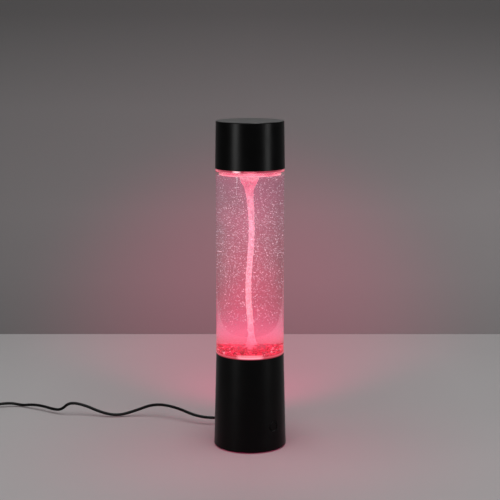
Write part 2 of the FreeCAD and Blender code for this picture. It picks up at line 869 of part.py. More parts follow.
def filler():
    head_foot = f"({FILLER_TOP} + filler_seal_thick)"
    head_top = f"({head_foot} + filler_head_thick)"
    shank = "(filler_radius - screw_gap)"
    shank_foot = f"({head_foot} - filler_depth)"
    screw = turned(
        "fill_screw",
        [
            ("0", shank_foot),
            (shank, shank_foot),
            (shank, head_foot),
            ("filler_head_radius", head_foot),
            ("filler_head_radius", head_top),
            ("0", head_top),
        ],
    )
    slot = feature(screw, "SubtractiveBox", "coin_slot")
    bind(slot, Length="2 * filler_head_radius", Width="filler_slot", Height="filler_slot")
    put(slot, "-filler_head_radius", "-filler_slot / 2", f"{head_top} - filler_slot")
    doc.recompute()
    return [screw, ring_body("fill_seal", "filler_radius", "filler_boss_radius", FILLER_TOP, head_foot)]


def cap():
    inner_top = f"({cap_radius('(cap_height - cap_top_thick)')} - cap_wall)"
    top = f"({PLUG_RIM} + cap_height)"
    body = turned(
        "cap",
        [
            (f"{CAP_FOOT} - cap_wall", PLUG_RIM),
            (CAP_FOOT, PLUG_RIM),
            (CAP_TOP, top),
            ("0", top),
            ("0", f"{top} - cap_top_thick"),
            (inner_top, f"{top} - cap_top_thick"),
        ],
    )
    soften(body, "cap_top_edge", "cap_edge", [(CAP_TOP, top)])
    return body


# Impeller on its pin, above the tank floor
def impeller():
    bore = "(pin_radius + running_gap)"
    body = turned(
        "impeller",
        [
            (bore, IMPELLER_BOTTOM),
            ("impeller_radius", IMPELLER_BOTTOM),
            ("impeller_radius", IMPELLER_DISC),
            ("impeller_hub_radius", IMPELLER_DISC),
            ("impeller_hub_radius", IMPELLER_TOP),
            (bore, IMPELLER_TOP),
        ],
    )
    root = "(impeller_hub_radius - blade_inset / 2)"
    blade = feature(body, "AdditiveBox", "blade")
    bind(blade, Length=f"impeller_radius - blade_inset - {root}", Width="blade_thick", Height="blade_height")
    put(blade, root, "-blade_thick / 2", IMPELLER_DISC)
    doc.recompute()
    around(body, blade, "blade_count")
    drill(body, "pole_pocket", "pole_radius + magnet_gap", "pole_thick", MAGNETS, IMPELLER_BOTTOM)
    return body


def impeller_seat():
    bore = "(pin_radius + screw_gap)"
    pin = rod("impeller_pin", "pin_radius", f"{PIN_TOP} - {FLOOR_TOP} + pin_bury")
    put(pin, z=f"{FLOOR_TOP} - pin_bury")
    washer_top = f"({FLOOR_TOP} + washer_thick)"
    washer = ring_body("impeller_washer", bore, "washer_radius", FLOOR_TOP, washer_top)
    clip_foot = f"({IMPELLER_TOP} + clip_gap)"
    clip = ring_body("impeller_clip", bore, "clip_radius", clip_foot, f"({clip_foot} + clip_thick)")
    return [pin, washer, clip]


# Water: fills the tube, clear of the impeller, round the wavering air core of the whirl
def water():
    foot = f"({FLOOR_TOP} + water_gap)"
    fill = rod("water_fill", f"{TUBE_BORE} - water_gap", f"{WATER_TOP} - {foot}")
    put(fill, z=foot)
    swirl_top = f"({PIN_TOP} + water_gap)"
    swirl = rod("swirl_space", "impeller_radius + swirl_room", f"{swirl_top} - {FLOOR_TOP}")
    put(swirl, z=FLOOR_TOP)
    low = measure(swirl_top) - measure("water_gap")
    high = measure(WATER_TOP) + measure("water_gap")
    count = int(measure("whirl_sections"))
    rings = []
    for index in range(count + 1):
        height = high - (high - low) * (index / count) ** 1.4
        phase = 2 * math.pi * (height - measure("whirl_crest")) / measure("whirl_pitch")
        spread = math.exp((height - measure(WATER_TOP)) / measure("whirl_fall"))
        sway = measure("whirl_sway") * (1 - spread) if spread < 1 else 0
        radius = measure("whirl_radius") + (measure("whirl_mouth") - measure("whirl_radius")) * spread
        centre = Vector(sway * math.cos(phase), sway * math.sin(phase), height)
        rings.append(Part.Wire(Part.Circle(centre, Vector(0, 0, 1), radius).toShape()))
    core = solid_feature("air_core", Part.makeLoft(rings, True, False))
    return less("water", less("water_round_impeller", fill, swirl), core)


# Button, the switch behind it and the control board
def button_and_switch():
    front = f"({shell_radius('button_height')} - button_sink - {BUTTON_BACK})"
    button = turned(
        "button",
        [
            ("0", "0"),
            ("button_radius + button_rim", "0"),
            ("button_radius + button_rim", "button_rim_thick"),
            ("button_radius", "button_rim_thick"),
            ("button_radius", f"{front} - button_bevel"),
            ("button_radius - button_bevel", front),
            ("0", front),
        ],
    )
    at_board(button, BUTTON_BACK, "0", "button_height", LAY_ALONG_X)
    case = block("switch_case", "switch_depth", "switch_side", "switch_side")
    at_board(case, BOARD_FACE, "-switch_side / 2", "button_height - switch_side / 2")
    bore = rod("switch_bore_space", "switch_stem_radius + switch_stem_gap", "switch_bore")
    at_board(bore, f"{BOARD_FACE} + switch_depth - switch_bore", "0", "button_height", LAY_ALONG_X)
    stem_foot = f"({BOARD_FACE} + switch_depth - switch_stem_bury)"
    stem = rod("switch_plunger", "switch_stem_radius", f"{BUTTON_BACK} - {stem_foot}")
    at_board(stem, stem_foot, "0", "button_height", LAY_ALONG_X)
    return [button, less("switch_body", case, bore), stem]


def control_parts():
    board = block("control_board", "board_thick", "board_width", f"{BOARD_TOP} - {BOARD_FOOT}")
    at_board(board, BOARD_BACK, "-board_width / 2", BOARD_FOOT)
    chip = block("control_chip", "chip_thick", "chip_length", "chip_width")
    at_board(chip, f"{BOARD_BACK} - chip_thick", "-chip_length / 2", CHIP_FOOT)
    capacitor = rod("control_capacitor", "capacitor_radius", "capacitor_length")
    at_board(capacitor, BOARD_BACK, "capacitor_side", f"{CHIP_FOOT} - capacitor_drop", LAY_ALONG_BACK_X)
    connector = block("wire_connector", "plug_in_depth", "plug_in_width", "plug_in_height")
    foot = f"{PLUG_IN_TOP} - plug_in_height"
    at_board(connector, f"{BOARD_BACK} - plug_in_depth", "-plug_in_width / 2", foot)
    return [board, chip, capacitor, connector]


def inner_wires():
    pin_reach = f"({BOARD_BACK} - plug_in_depth / 2)"
    tab_height = f"({MOTOR_BOTTOM} - motor_end_thick - motor_tab_length + wire_radius)"
    motor_routes = []
    for side in ("-motor_tab_spread", "motor_tab_spread"):
        start = board_point("wire_radius / 2", side, tab_height)
        corner = board_point(pin_reach, side, tab_height)
        end = board_point(pin_reach, side, PLUG_IN_TOP)
        motor_routes.append([start, corner, end])
    light_routes = []
    light_foot = f"({DECK_BOTTOM} - led_board_thick)"
    fall = measure(light_foot) - measure(PLUG_IN_TOP)
    for side in ("-wire_pitch", "0", "wire_pitch"):
        points = []
        for share, bow in ((0, 0), (0.25, 0), (0.5, 1), (0.75, 0), (1, 0)):
            reach = f"{pin_reach} + {bow} * wire_bow"
            points.append(board_point(reach, side, f"{light_foot} - {share * fall}"))
        light_routes.append(points)
    return [wires("motor_leads", motor_routes), wires("led_leads", light_routes)]


# Lead: strain relief, the run inside the base, the free run, the coil and the plug
def strain_relief():
    bore = "(cord_radius + cord_bore_gap)"
    neck_top = "(relief_flange_thick + relief_sink + base_wall + relief_stand)"
    tip = f"({neck_top} + relief_length)"
    relief = turned(
        "strain_relief",
        [
            (bore, "0"),
            ("relief_flange_radius", "0"),
            ("relief_flange_radius", "relief_flange_thick"),
            ("relief_neck_radius", "relief_flange_thick"),
            ("relief_neck_radius", neck_top),
            ("relief_radius", neck_top),
            ("relief_tip_radius", tip),
            (bore, tip),
        ],
    )
    foot = f"{shell_radius('cord_height')} - base_wall - relief_sink - relief_flange_thick"
    return put(relief, "0", foot, "cord_height", LAY_ALONG_Y)


def coil_radius(turns):
    # the turns step in, out, in and out again
    inner, step = measure("coil_inner"), measure(COIL_STEP)
    first, second, third = COIL_REVERSALS
    if turns <= first:
        return inner + step * (first - turns)
    if turns <= second:
        return inner + step * (turns - first)
    if turns <= third:
        return inner + step * (2 * second - first - turns)
    return inner + step * (turns - third) + step * (2 * second - first - third)


def coil_point(turns):
    height = measure(COIL_FOOT)
    for reversal in COIL_REVERSALS:
        share = min(max((turns - reversal + 0.25) / 0.5, 0), 1)
        height += measure(COIL_RISE) * (3 * share**2 - 2 * share**3)
    angle = math.radians(90 + 360 * turns)
    radius = coil_radius(turns)
    x = measure("coil_x") + radius * math.cos(angle)
    y = measure("coil_y") + radius * math.sin(angle)
    return Vector(x, y, height)


def coil_heading(turns):
    if turns == 0:
        return Vector(-1, 0, 0)
    if turns == COIL_TURNS:
        return Vector(0, -1, 0)
    nudge = 0.001
    return (coil_point(turns + nudge) - coil_point(turns - nudge)).normalize()


def arc_towards(start, corner, end):
    # the arc from start to end that is tangent to both sides of the corner
    half_chord = (end - start).Length / 2
    middle = (start + end) * 0.5
    reach = (corner - middle).Length
    side = (corner - start).Length
    radius = side * half_chord / reach
    sagitta = radius - math.sqrt(radius**2 - half_chord**2)
    return Part.Arc(start, middle + (corner - middle) * (sagitta / reach), end).toShape()


def biarc(start, heading, end, leaving):
    span = end - start
    both = heading + leaving
    across = span.dot(both)
    slack = 2 * (1 - heading.dot(leaving))
    reach = (-across + math.sqrt(across**2 + slack * span.dot(span))) / slack
    near = start + heading * reach
    far = end - leaving * reach
    joint = (near + far) * 0.5
    return [arc_towards(start, near, joint), arc_towards(joint, far, end)]


def coil_path():
    straight = 2 * measure("cord_radius")
    start = coil_point(0)
    edges = [Part.LineSegment(start - coil_heading(0) * straight, start).toShape()]
    count = round(COIL_TURNS * 4)
    for index in range(count):
        here, there = index / 4, (index + 1) / 4
        edges += biarc(coil_point(here), coil_heading(here), coil_point(there), coil_heading(there))
    end = coil_point(COIL_TURNS)
    edges.append(Part.LineSegment(end, end + coil_heading(COIL_TURNS) * straight).toShape())
    return Part.Wire(edges)


def least_gap(path, radius):
    # the smallest space between turns, measured on points along the middle line
    points = path.discretize(Distance=1.0)
    apart = int(math.pi * measure("coil_inner"))
    closest = math.inf
    for index, point in enumerate(points):
        for other in points[index + apart :]:
            closest = min(closest, (other - point).Length)
    return closest - 2 * radius


def cord_points():
    radius = measure("cord_radius")
    exit_y = measure(f"{shell_radius('cord_height')} + relief_stand + relief_length")
    end = coil_point(0) - coil_heading(0) * (2 * radius)
    points = [Vector(0, exit_y, measure("cord_height"))]
    points += [Vector(*place) for place in CORD_ROUTE]
    return points + [end - coil_heading(0) * measure("cord_last_run"), end]


def tail_points():
    radius = measure("cord_radius")
    heading = coil_heading(COIL_TURNS)
    start = coil_point(COIL_TURNS) + heading * (2 * radius)
    level = start + heading * measure("tail_run")
    down = level + heading * measure("tail_fall")
    down.z = measure("usb_body_thick / 2")
    return [start, level, down, down + heading * measure("tail_fall")]


def lead():
    radius = measure("cord_radius")
    made = []
    outer = cord_points()
    board = board_point(BOARD_BACK, "solder_side", "solder_height")
    inner_end = outer[0]
    approach = board_point(f"{BOARD_BACK} - inner_run", "solder_side", "solder_height")
    inner = [inner_end, Vector(0, measure("inner_turn"), inner_end.z), approach, board]
    for label, points in (("inner_lead", inner), ("cord", outer), ("cord_tail", tail_points())):
        radii = []
        path = rounded_path(points, radii)
        shape = tube_along(path, radius)
        check_tube(label, shape, path, radius)
        print(f"{label}: arc radii " + ", ".join(f"{value:.1f}" for value in radii))
        made.append(solid_feature(label, shape))
    path = coil_path()
    shape = tube_along(path, radius)
    check_tube("cord_coil", shape, path, radius)
    print(f"cord_coil: least gap between turns {least_gap(path, radius):.2f}")
    made.append(solid_feature("cord_coil", shape))
    return made


def cord_tie():
    # a strap round all the turns, on the side that faces the lamp's front
    half = "(tie_width / 2)"
    near = "(coil_inner - cord_radius)"
    turns = COIL_REVERSALS[1] - COIL_REVERSALS[0]
    far = f"(coil_inner + {COIL_STEP} * {turns} + cord_radius + tie_side_gap)"
    inner_edge = f"(sqrt({near} * {near} - {half} * {half}) - tie_side_gap)"
    tall = f"(2 * cord_radius + 3 * {COIL_RISE} + 2 * tie_gap)"
    wide = f"({far} - {inner_edge})"
    outside = block("tie_outside", "tie_width", f"{wide} + 2 * tie_thick", f"{tall} + 2 * tie_thick")
    put(outside, f"coil_x - {half}", f"coil_y - {far} - tie_thick", "0")
    inside = block("tie_inside", "3 * tie_width", wide, tall)
    put(inside, f"coil_x - 3 * {half}", f"coil_y - {far}", "tie_thick")
    return less("cord_tie", outside, inside)


def usb_grip(x, y, front, middle):
    body = doc.addObject("PartDesign::Body", "usb_plug_body")
    grip = feature(body, "AdditiveBox", "usb_grip")
    bind(grip, Length="usb_body_width", Width="usb_body_length", Height="usb_body_thick")
    put(grip, f"{x} - usb_body_width / 2", front, "0")
    doc.recompute()
    edges = []
    for number, edge in enumerate(body.Shape.Edges, start=1):
        if abs(edge.tangentAt(edge.FirstParameter).y) > 0.99:
            edges.append(f"Edge{number}")
    rounding = body.newObject("PartDesign::Fillet", "usb_edges")
    rounding.Base = (grip, edges)
    bind(rounding, Radius="usb_body_edge")
    doc.recompute()
    boot = feature(body, "AdditiveCone", "usb_boot")
    bind(boot, Radius1="usb_boot_tip_radius", Radius2="usb_boot_radius", Height="usb_boot_length")
    put(boot, x, y, middle, LAY_ALONG_BACK_Y)
    doc.recompute()
    return body


def usb_shell(x, front, middle):
    wall, tall, deep = "usb_shell_wall", "usb_shell_thick", "usb_shell_length"
    outer = block("usb_shell_outside", "usb_shell_width", deep, tall)
    put(outer, f"{x} - usb_shell_width / 2", f"{front} - {deep}", f"{middle} - {tall} / 2")
    inner = block("usb_shell_inside", f"usb_shell_width - 2 * {wall}", f"2 * {deep}", f"{tall} - 2 * {wall}")
    corner = (f"{x} - usb_shell_width / 2 + {wall}", f"{front} - 1.5 * {deep}")
    put(inner, *corner, f"{middle} - {tall} / 2 + {wall}")
    windows = []
    for side in (-1, 1):
        window = block(f"usb_window_{side + 2}", "usb_window", "usb_window", f"2 * {tall}")
        across = f"{x} + {side} * usb_window_spread - usb_window / 2"
        put(window, across, f"{front} - {deep} + usb_window_inset", f"{middle} - {tall}")
        windows.append(window)
    return less("usb_shell", less("usb_shell_open", outer, inner), group("usb_windows", windows))


def usb_plug():
    end = tail_points()[-1]
    x, y = f"({end.x})", f"({end.y})"
    middle = "(usb_body_thick / 2)"
    wall, deep = "usb_shell_wall", "usb_shell_length"
    front = f"({y} - usb_boot_length - usb_body_length)"
    tongue_wide = f"(usb_shell_width - 2 * {wall} - 2 * usb_tongue_gap)"
    tongue_foot = f"({middle} + usb_shell_thick / 2 - {wall} - usb_tongue_gap - usb_tongue_thick)"
    tongue = block("usb_tongue", tongue_wide, f"{deep} - {wall}", "usb_tongue_thick")
    put(tongue, f"{x} - {tongue_wide} / 2", f"{front} - {deep} + {wall}", tongue_foot)
    contacts = []
    for index in range(4):
        name = f"usb_contact_{index + 1}"
        contact = block(name, "usb_contact_width", f"{deep} - usb_window", "usb_contact_thick")
        across = f"{x} + ({index} - 1.5) * usb_contact_pitch - usb_contact_width / 2"
        put(contact, across, f"{front} - {deep} + usb_window", f"{tongue_foot} - usb_contact_thick")
        contacts.append(contact)
    pieces = [usb_grip(x, y, front, middle), usb_shell(x, front, middle), tongue]
    return pieces + [group("usb_contacts", contacts)]


def every_part():
    head = "screw_head_thick"
    ring_foot = f"{DECK_BOTTOM} - led_board_thick"
    parts = [base_shell(), base_plate(), rubber_feet()]
    parts.append(screws("base_screws", "base_screw", BASE_POSTS, "foot_lift + fit_gap"))
    parts.append(motor_mount())
    parts.append(screws("mount_screws", "mount_screw", MOUNT_POSTS, f"{MOTOR_TOP} - {head}"))
    parts += motor()
    parts.append(screws("motor_screws", "motor_screw", MOTOR_SCREWS, f"{MOUNT_TOP} + {head}", LAY_DOWN))
    parts.append(magnet_carrier())
    parts.append(discs("drive_magnets", "magnet_radius", "magnet_thick", f"{CARRIER_TOP} - magnet_thick"))
    parts += [led_board(), leds()]
    parts.append(screws("led_board_screws", "ring_screw", RING_SCREWS, f"{ring_foot} - {head}"))
    parts.append(screws("tank_screws", "tank_screw", TANK_SCREWS, f"{DECK_BOTTOM} - {head}"))
    parts += [tank_floor(), tube(), tube_plug(), cap_ring()]
    parts += filler()
    parts += [cap(), impeller()]
    parts.append(discs("impeller_magnets", "pole_radius", "pole_thick", IMPELLER_BOTTOM))
    parts += impeller_seat()
    parts.append(water())
    parts += button_and_switch()
    parts += control_parts()
    parts += inner_wires()
    parts.append(strain_relief())
    parts += lead()
    parts.append(cord_tie())
    return parts + usb_plug()


parts = every_part()
doc.recompute()
for thing in doc.Objects:
    if "Invalid" in thing.State or "Error" in thing.State:
        raise RuntimeError(f"{thing.Label} failed: {thing.State}")
for part in parts:
    if part.Shape.isNull() or not part.Shape.isValid() or not part.Shape.Solids:
        raise RuntimeError(f"{part.Label} has no valid shape")

os.makedirs("parts", exist_ok=True)
for part in parts:
    part.Shape.exportStep(f"parts/{part.Label}.step")
print(f"{len(parts)} parts written")
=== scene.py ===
import json
import math
import random

import bmesh
import bpy
from mathutils import Matrix, Vector, noise

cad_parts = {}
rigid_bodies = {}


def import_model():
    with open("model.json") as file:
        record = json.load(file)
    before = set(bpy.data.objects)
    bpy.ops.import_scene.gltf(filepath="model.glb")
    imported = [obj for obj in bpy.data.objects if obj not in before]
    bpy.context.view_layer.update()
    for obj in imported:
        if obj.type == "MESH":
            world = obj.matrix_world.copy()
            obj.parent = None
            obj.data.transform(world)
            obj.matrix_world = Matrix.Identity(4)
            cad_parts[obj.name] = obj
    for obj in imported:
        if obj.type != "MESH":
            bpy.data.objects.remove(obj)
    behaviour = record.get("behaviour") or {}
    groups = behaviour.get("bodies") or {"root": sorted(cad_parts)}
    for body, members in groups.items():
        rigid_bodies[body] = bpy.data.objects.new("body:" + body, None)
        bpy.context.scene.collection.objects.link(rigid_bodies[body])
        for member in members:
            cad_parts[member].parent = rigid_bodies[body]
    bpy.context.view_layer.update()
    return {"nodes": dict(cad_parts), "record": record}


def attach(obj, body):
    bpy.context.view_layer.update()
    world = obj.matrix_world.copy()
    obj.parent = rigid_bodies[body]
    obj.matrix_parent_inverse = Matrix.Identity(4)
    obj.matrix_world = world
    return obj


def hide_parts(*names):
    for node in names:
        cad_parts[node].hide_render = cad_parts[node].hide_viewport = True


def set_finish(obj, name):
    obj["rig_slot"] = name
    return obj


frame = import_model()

scene = bpy.context.scene
nodes = frame["nodes"]
mm = 0.001
print("frame loaded:", len(nodes), "nodes")


# small helpers for shader nodes
def addNode(tree, kind, inputs=None, **settings):
    made = tree.nodes.new(kind)
    for name, value in settings.items():
        setattr(made, name, value)
    for socket, value in (inputs or {}).items():
        if isinstance(value, bpy.types.NodeSocket):
            tree.links.new(value, made.inputs[socket])
        else:
            made.inputs[socket].default_value = value
    return made


def addMath(tree, operation, first, second=0.0, third=0.0):
    return addNode(tree, "ShaderNodeMath", {0: first, 1: second, 2: third}, operation=operation).outputs[0]


def addRamp(tree, factor, stops):
    made = addNode(tree, "ShaderNodeValToRGB", {"Fac": factor})
    elements = made.color_ramp.elements
    while len(elements) < len(stops):
        elements.new(0.5)
    for element, (place, colour) in zip(elements, stops):
        element.position = place
        element.color = (*colour, 1.0)
    return made.outputs["Color"]


def addMix(tree, factor, first, second, blend="MIX"):
    made = addNode(tree, "ShaderNodeMix", {0: factor}, data_type="RGBA", blend_type=blend)
    for socket, value in ((6, first), (7, second)):
        if isinstance(value, bpy.types.NodeSocket):
            tree.links.new(value, made.inputs[socket])
        else:
            made.inputs[socket].default_value = (*value, 1.0)
    return made.outputs[2]


def addSpan(tree, value, start, end, low=0.0, high=1.0):
    # how far the value has come from start to end, as a number from low to high
    inputs = {"Value": value, "From Min": start, "From Max": end, "To Min": low, "To Max": high}
    return addNode(tree, "ShaderNodeMapRange", inputs).outputs[0]


def addPlace(tree):
    return addNode(tree, "ShaderNodeTexCoord").outputs["Object"]


def addAxes(tree, place):
    return addNode(tree, "ShaderNodeSeparateXYZ", {0: place}).outputs


def addSquareAway(tree, axes):
    # the square of the distance from the lamp's axis
    squares = addMath(tree, "MULTIPLY", axes["X"], axes["X"])
    return addMath(tree, "MULTIPLY_ADD", axes["Y"], axes["Y"], squares)


def addStretch(tree, place, scale):
    return addNode(tree, "ShaderNodeVectorMath", {0: place, 1: scale}, operation="MULTIPLY").outputs[0]


def addNoise(tree, place, scale, detail=3.0, roughness=0.5):
    inputs = {"Vector": place, "Scale": scale, "Detail": detail, "Roughness": roughness}
    return addNode(tree, "ShaderNodeTexNoise", inputs).outputs["Fac"]


def addCells(tree, place, scale):
    return addNode(tree, "ShaderNodeTexVoronoi", {"Vector": place, "Scale": scale}).outputs


def addBump(tree, height, strength, distance=0.0002):
    inputs = {"Height": height, "Strength": strength, "Distance": distance}
    return addNode(tree, "ShaderNodeBump", inputs).outputs[0]


def addGroup(tree, group, inputs=None):
    return addNode(tree, "ShaderNodeGroup", inputs, node_tree=group).outputs


def newGroup(name, inputs, outputs):
    # inputs gives each socket's default, outputs each socket's kind
    group = bpy.data.node_groups.new(name, "ShaderNodeTree")
    for label, default in inputs.items():
        kind = "NodeSocketVector" if isinstance(default, tuple) else "NodeSocketFloat"
        group.interface.new_socket(label, in_out="INPUT", socket_type=kind).default_value = default
    for label, kind in outputs.items():
        group.interface.new_socket(label, in_out="OUTPUT", socket_type="NodeSocket" + kind)
    given = group.nodes.new("NodeGroupInput").outputs
    result = group.nodes.new("NodeGroupOutput").inputs
    return group, given, result


def newMaterial(name):
    material = bpy.data.materials.new(name)
    material.use_nodes = True
    tree = material.node_tree
    for old in list(tree.nodes):
        tree.nodes.remove(old)
    output = tree.nodes.new("ShaderNodeOutputMaterial")
    shader = tree.nodes.new("ShaderNodeBsdfPrincipled")
    tree.links.new(shader.outputs[0], output.inputs["Surface"])
    return material, tree, shader, output


def setShader(tree, shader, **inputs):
    for name, value in inputs.items():
        socket = shader.inputs[name.replace("_", " ")]
        if isinstance(value, bpy.types.NodeSocket):
            tree.links.new(value, socket)
        elif isinstance(value, tuple) and len(value) == 3 and socket.type == "RGBA":
            socket.default_value = (*value, 1.0)
        else:
            socket.default_value = value


# moulding: the fine grain of a moulded surface and its slow mottling
mouldingLook = {"Grain": 1400.0, "Mottle": 60.0}


def makeMouldingGroup(look):
    group, given, result = newGroup("moulding", look, {"Height": "Float", "Shade": "Float"})
    place = addPlace(group)
    group.links.new(addNoise(group, place, given["Grain"], 2.0), result["Height"])
    group.links.new(addNoise(group, place, given["Mottle"]), result["Shade"])
    return group


# brushing: fine lines along one direction of a metal part, and faint stains
brushingLook = {"Lines": (4000.0, 4000.0, 120.0)}
stainScale = 180.0


def makeBrushingGroup(look):
    group, given, result = newGroup("brushing", look, {"Height": "Float", "Shade": "Float"})
    place = addPlace(group)
    lines = addNoise(group, addStretch(group, place, given["Lines"]), 1.0)
    group.links.new(lines, result["Height"])
    group.links.new(addNoise(group, place, stainScale), result["Shade"])
    return group


# lampGlow: the pink light in the tank by height, with the column's own glow round the axis
glowLook = {
    "low": 0.101,
    "high": 0.285,
    "columnWidth": 0.009,
    "columnRise": (0.14, 0.3),
    "light": [
        (0.0, (0.62, 0.0, 0.01)),
        (0.04, (0.70, 0.0, 0.02)),
        (0.065, (0.82, 0.20, 0.28)),
        (0.13, (0.78, 0.18, 0.27)),
        (0.19, (0.65, 0.035, 0.12)),
        (0.25, (0.56, 0.0, 0.065)),
        (0.5, (0.36, 0.0, 0.045)),
        (0.7, (0.31, 0.0, 0.06)),
        (0.9, (0.255, 0.0, 0.068)),
        (1.0, (0.26, 0.0, 0.073)),
    ],
    "foam": [
        (0.02, (0.70, 0.04, 0.08)),
        (0.07, (0.92, 0.32, 0.40)),
        (0.25, (1.0, 0.49, 0.56)),
        (0.7, (1.0, 0.46, 0.60)),
        (0.86, (1.0, 0.36, 0.48)),
        (0.92, (1.0, 0.23, 0.34)),
        (0.955, (1.0, 0.20, 0.31)),
        (0.985, (1.0, 0.44, 0.52)),
    ],
}


def makeGlowGroup(look):
    group, _, result = newGroup("lampGlow", {}, {"Glow": "Color", "Foam": "Color", "Column": "Float"})
    axes = addAxes(group, addPlace(group))
    height = addSpan(group, axes["Z"], look["low"], look["high"])
    fall = addMath(group, "MULTIPLY", addSquareAway(group, axes), -1.0 / look["columnWidth"] ** 2)
    rise = addSpan(group, height, *look["columnRise"])
    group.links.new(addRamp(group, height, look["light"]), result["Glow"])
    group.links.new(addRamp(group, height, look["foam"]), result["Foam"])
    group.links.new(addMath(group, "MULTIPLY", addMath(group, "EXPONENT", fall), rise), result["Column"])
    return group


# specks: the light in the tank's foot, broken up by bubbles and the turning impeller
speckLook = {
    "squash": (1.0, 0.42, 1.0),
    "cells": 620.0,
    "cellShare": 0.5,
    "drift": 330.0,
    "driftShare": 0.8,
    "colours": [
        (0.34, (1.0, 0.40, 0.49)),
        (0.44, (1.0, 0.08, 0.16)),
        (0.54, (0.80, 0.012, 0.055)),
        (0.66, (0.60, 0.008, 0.04)),
        (0.78, (0.20, 0.001, 0.012)),
    ],
}


def makeSpeckGroup(look):
    group, _, result = newGroup("specks", {}, {"Color": "Color"})
    flat = addStretch(group, addPlace(group), look["squash"])
    cells = addCells(group, flat, look["cells"])["Distance"]
    drift = addNoise(group, flat, look["drift"], detail=4.0, roughness=0.7)
    mixed = addMath(group, "MULTIPLY", drift, look["driftShare"])
    speck = addMath(group, "MULTIPLY_ADD", cells, look["cellShare"], mixed)
    group.links.new(addRamp(group, speck, look["colours"]), result["Color"])
    return group


mouldingGroup = makeMouldingGroup(mouldingLook)
brushingGroup = makeBrushingGroup(brushingLook)
glowGroup = makeGlowGroup(glowLook)
speckGroup = makeSpeckGroup(speckLook)


def mouldedMaterial(name, dark, light, roughness, bump, grain=1400.0, mottle=60.0, specular=0.5, paintedTopSheen=None):
    material, tree, shader, _ = newMaterial(name)
    moulding = addGroup(tree, mouldingGroup, {"Grain": grain, "Mottle": mottle})
    colour = addMix(tree, moulding["Shade"], dark, light)
    if paintedTopSheen:  # painted sheen: the faces that look up are painted lighter, for the light they catch from above
        normal = addNode(tree, "ShaderNodeTexCoord").outputs["Normal"]
        colour = addMix(tree, addSpan(tree, addAxes(tree, normal)["Z"], 0.7, 1.0), colour, paintedTopSheen)
    setShader(
        tree,
        shader,
        Base_Color=colour,
        Roughness=addSpan(tree, moulding["Shade"], 0.0, 1.0, roughness - 0.05, roughness + 0.07),
        Normal=addBump(tree, moulding["Height"], bump),
        Specular_IOR_Level=specular,
    )
    return material


def metalMaterial(name, dark, light, roughness, lines=(4000.0, 4000.0, 120.0)):
    material, tree, shader, _ = newMaterial(name)
    brushing = addGroup(tree, brushingGroup, {"Lines": lines})
    setShader(
        tree,
        shader,
        Base_Color=addMix(tree, brushing["Shade"], dark, light),
        Metallic=1.0,
        Roughness=addSpan(tree, brushing["Height"], 0.0, 1.0, roughness - 0.06, roughness + 0.08),
        Normal=addBump(tree, brushing["Height"], 0.08, 0.0001),
    )
    return material


# clear acrylic: smooth, with a very slight waver
acrylicLook = {"index": 1.49, "roughness": 0.015, "waver": 90.0, "mottle": 25.0, "bump": 0.004}


def clearMaterial(name, tint, look=acrylicLook):
    material, tree, shader, _ = newMaterial(name)
    moulding = addGroup(tree, mouldingGroup, {"Grain": look["waver"], "Mottle": look["mottle"]})
    setShader(
        tree,
        shader,
        Base_Color=tint,
        Roughness=look["roughness"],
        Transmission_Weight=1.0,
        IOR=look["index"],
        Normal=addBump(tree, moulding["Height"], look["bump"]),
    )
    return material, tree, shader


# extruded acrylic of the tube, with a faint pink cast where light runs in its wall
tubeLook = {
    "tint": (0.985, 0.975, 0.98),
    "low": 0.101,
    "high": 0.2875,
    "strength": 0.12,
    "light": [
        (0.0, (0.60, 0.01, 0.03)),
        (0.03, (0.60, 0.01, 0.04)),
        (0.06, (0.60, 0.03, 0.12)),
        (0.12, (0.55, 0.03, 0.12)),
        (0.20, (0.20, 0.01, 0.04)),
        (0.30, (0.03, 0.0, 0.005)),
        (0.94, (0.03, 0.0, 0.005)),
        (1.0, (0.30, 0.03, 0.06)),
    ],
}


def makeTubeMaterial(look):
    material, tree, shader = clearMaterial("tubeAcrylic", look["tint"])
    height = addSpan(tree, addAxes(tree, addPlace(tree))["Z"], look["low"], look["high"])
    light = addRamp(tree, height, look["light"])
    setShader(tree, shader, Emission_Color=light, Emission_Strength=look["strength"])
    return material


# tank floor: painted nearly opaque and dark red, for the shade and red light in the foot; its top shows the
# light as red and pale specks, with a painted pale reflection at the front middle, and its rim carries a pale
# line of light, with a painted highlight that makes it palest at the front
floorLook = {
    # painted shade: the clear floor is made nearly opaque and dark red
    "tint": (0.16, 0.008, 0.014),
    "clearness": 0.1,
    "roughness": 0.25,
    "low": 0.0975,
    "high": 0.101,
    "topFrom": 0.10085,
    "front": (-0.0318, -0.0336),
    "paintedFrontHighlight": (1.8, 4.6, 3.9),
    "paintedReflectionAhead": (-0.0235, -0.0262),
    "paintedReflectionAside": (0.0145, 0.0115),
    "paintedReflectionColour": (1.0, 0.50, 0.58),
    "strength": 0.62,
    "rim": [
        (0.0, (0.05, 0.0, 0.002)),
        (0.24, (0.14, 0.0, 0.004)),
        (0.36, (0.60, 0.05, 0.09)),
        (0.60, (0.95, 0.14, 0.20)),
        (0.95, (0.90, 0.11, 0.16)),
    ],
}


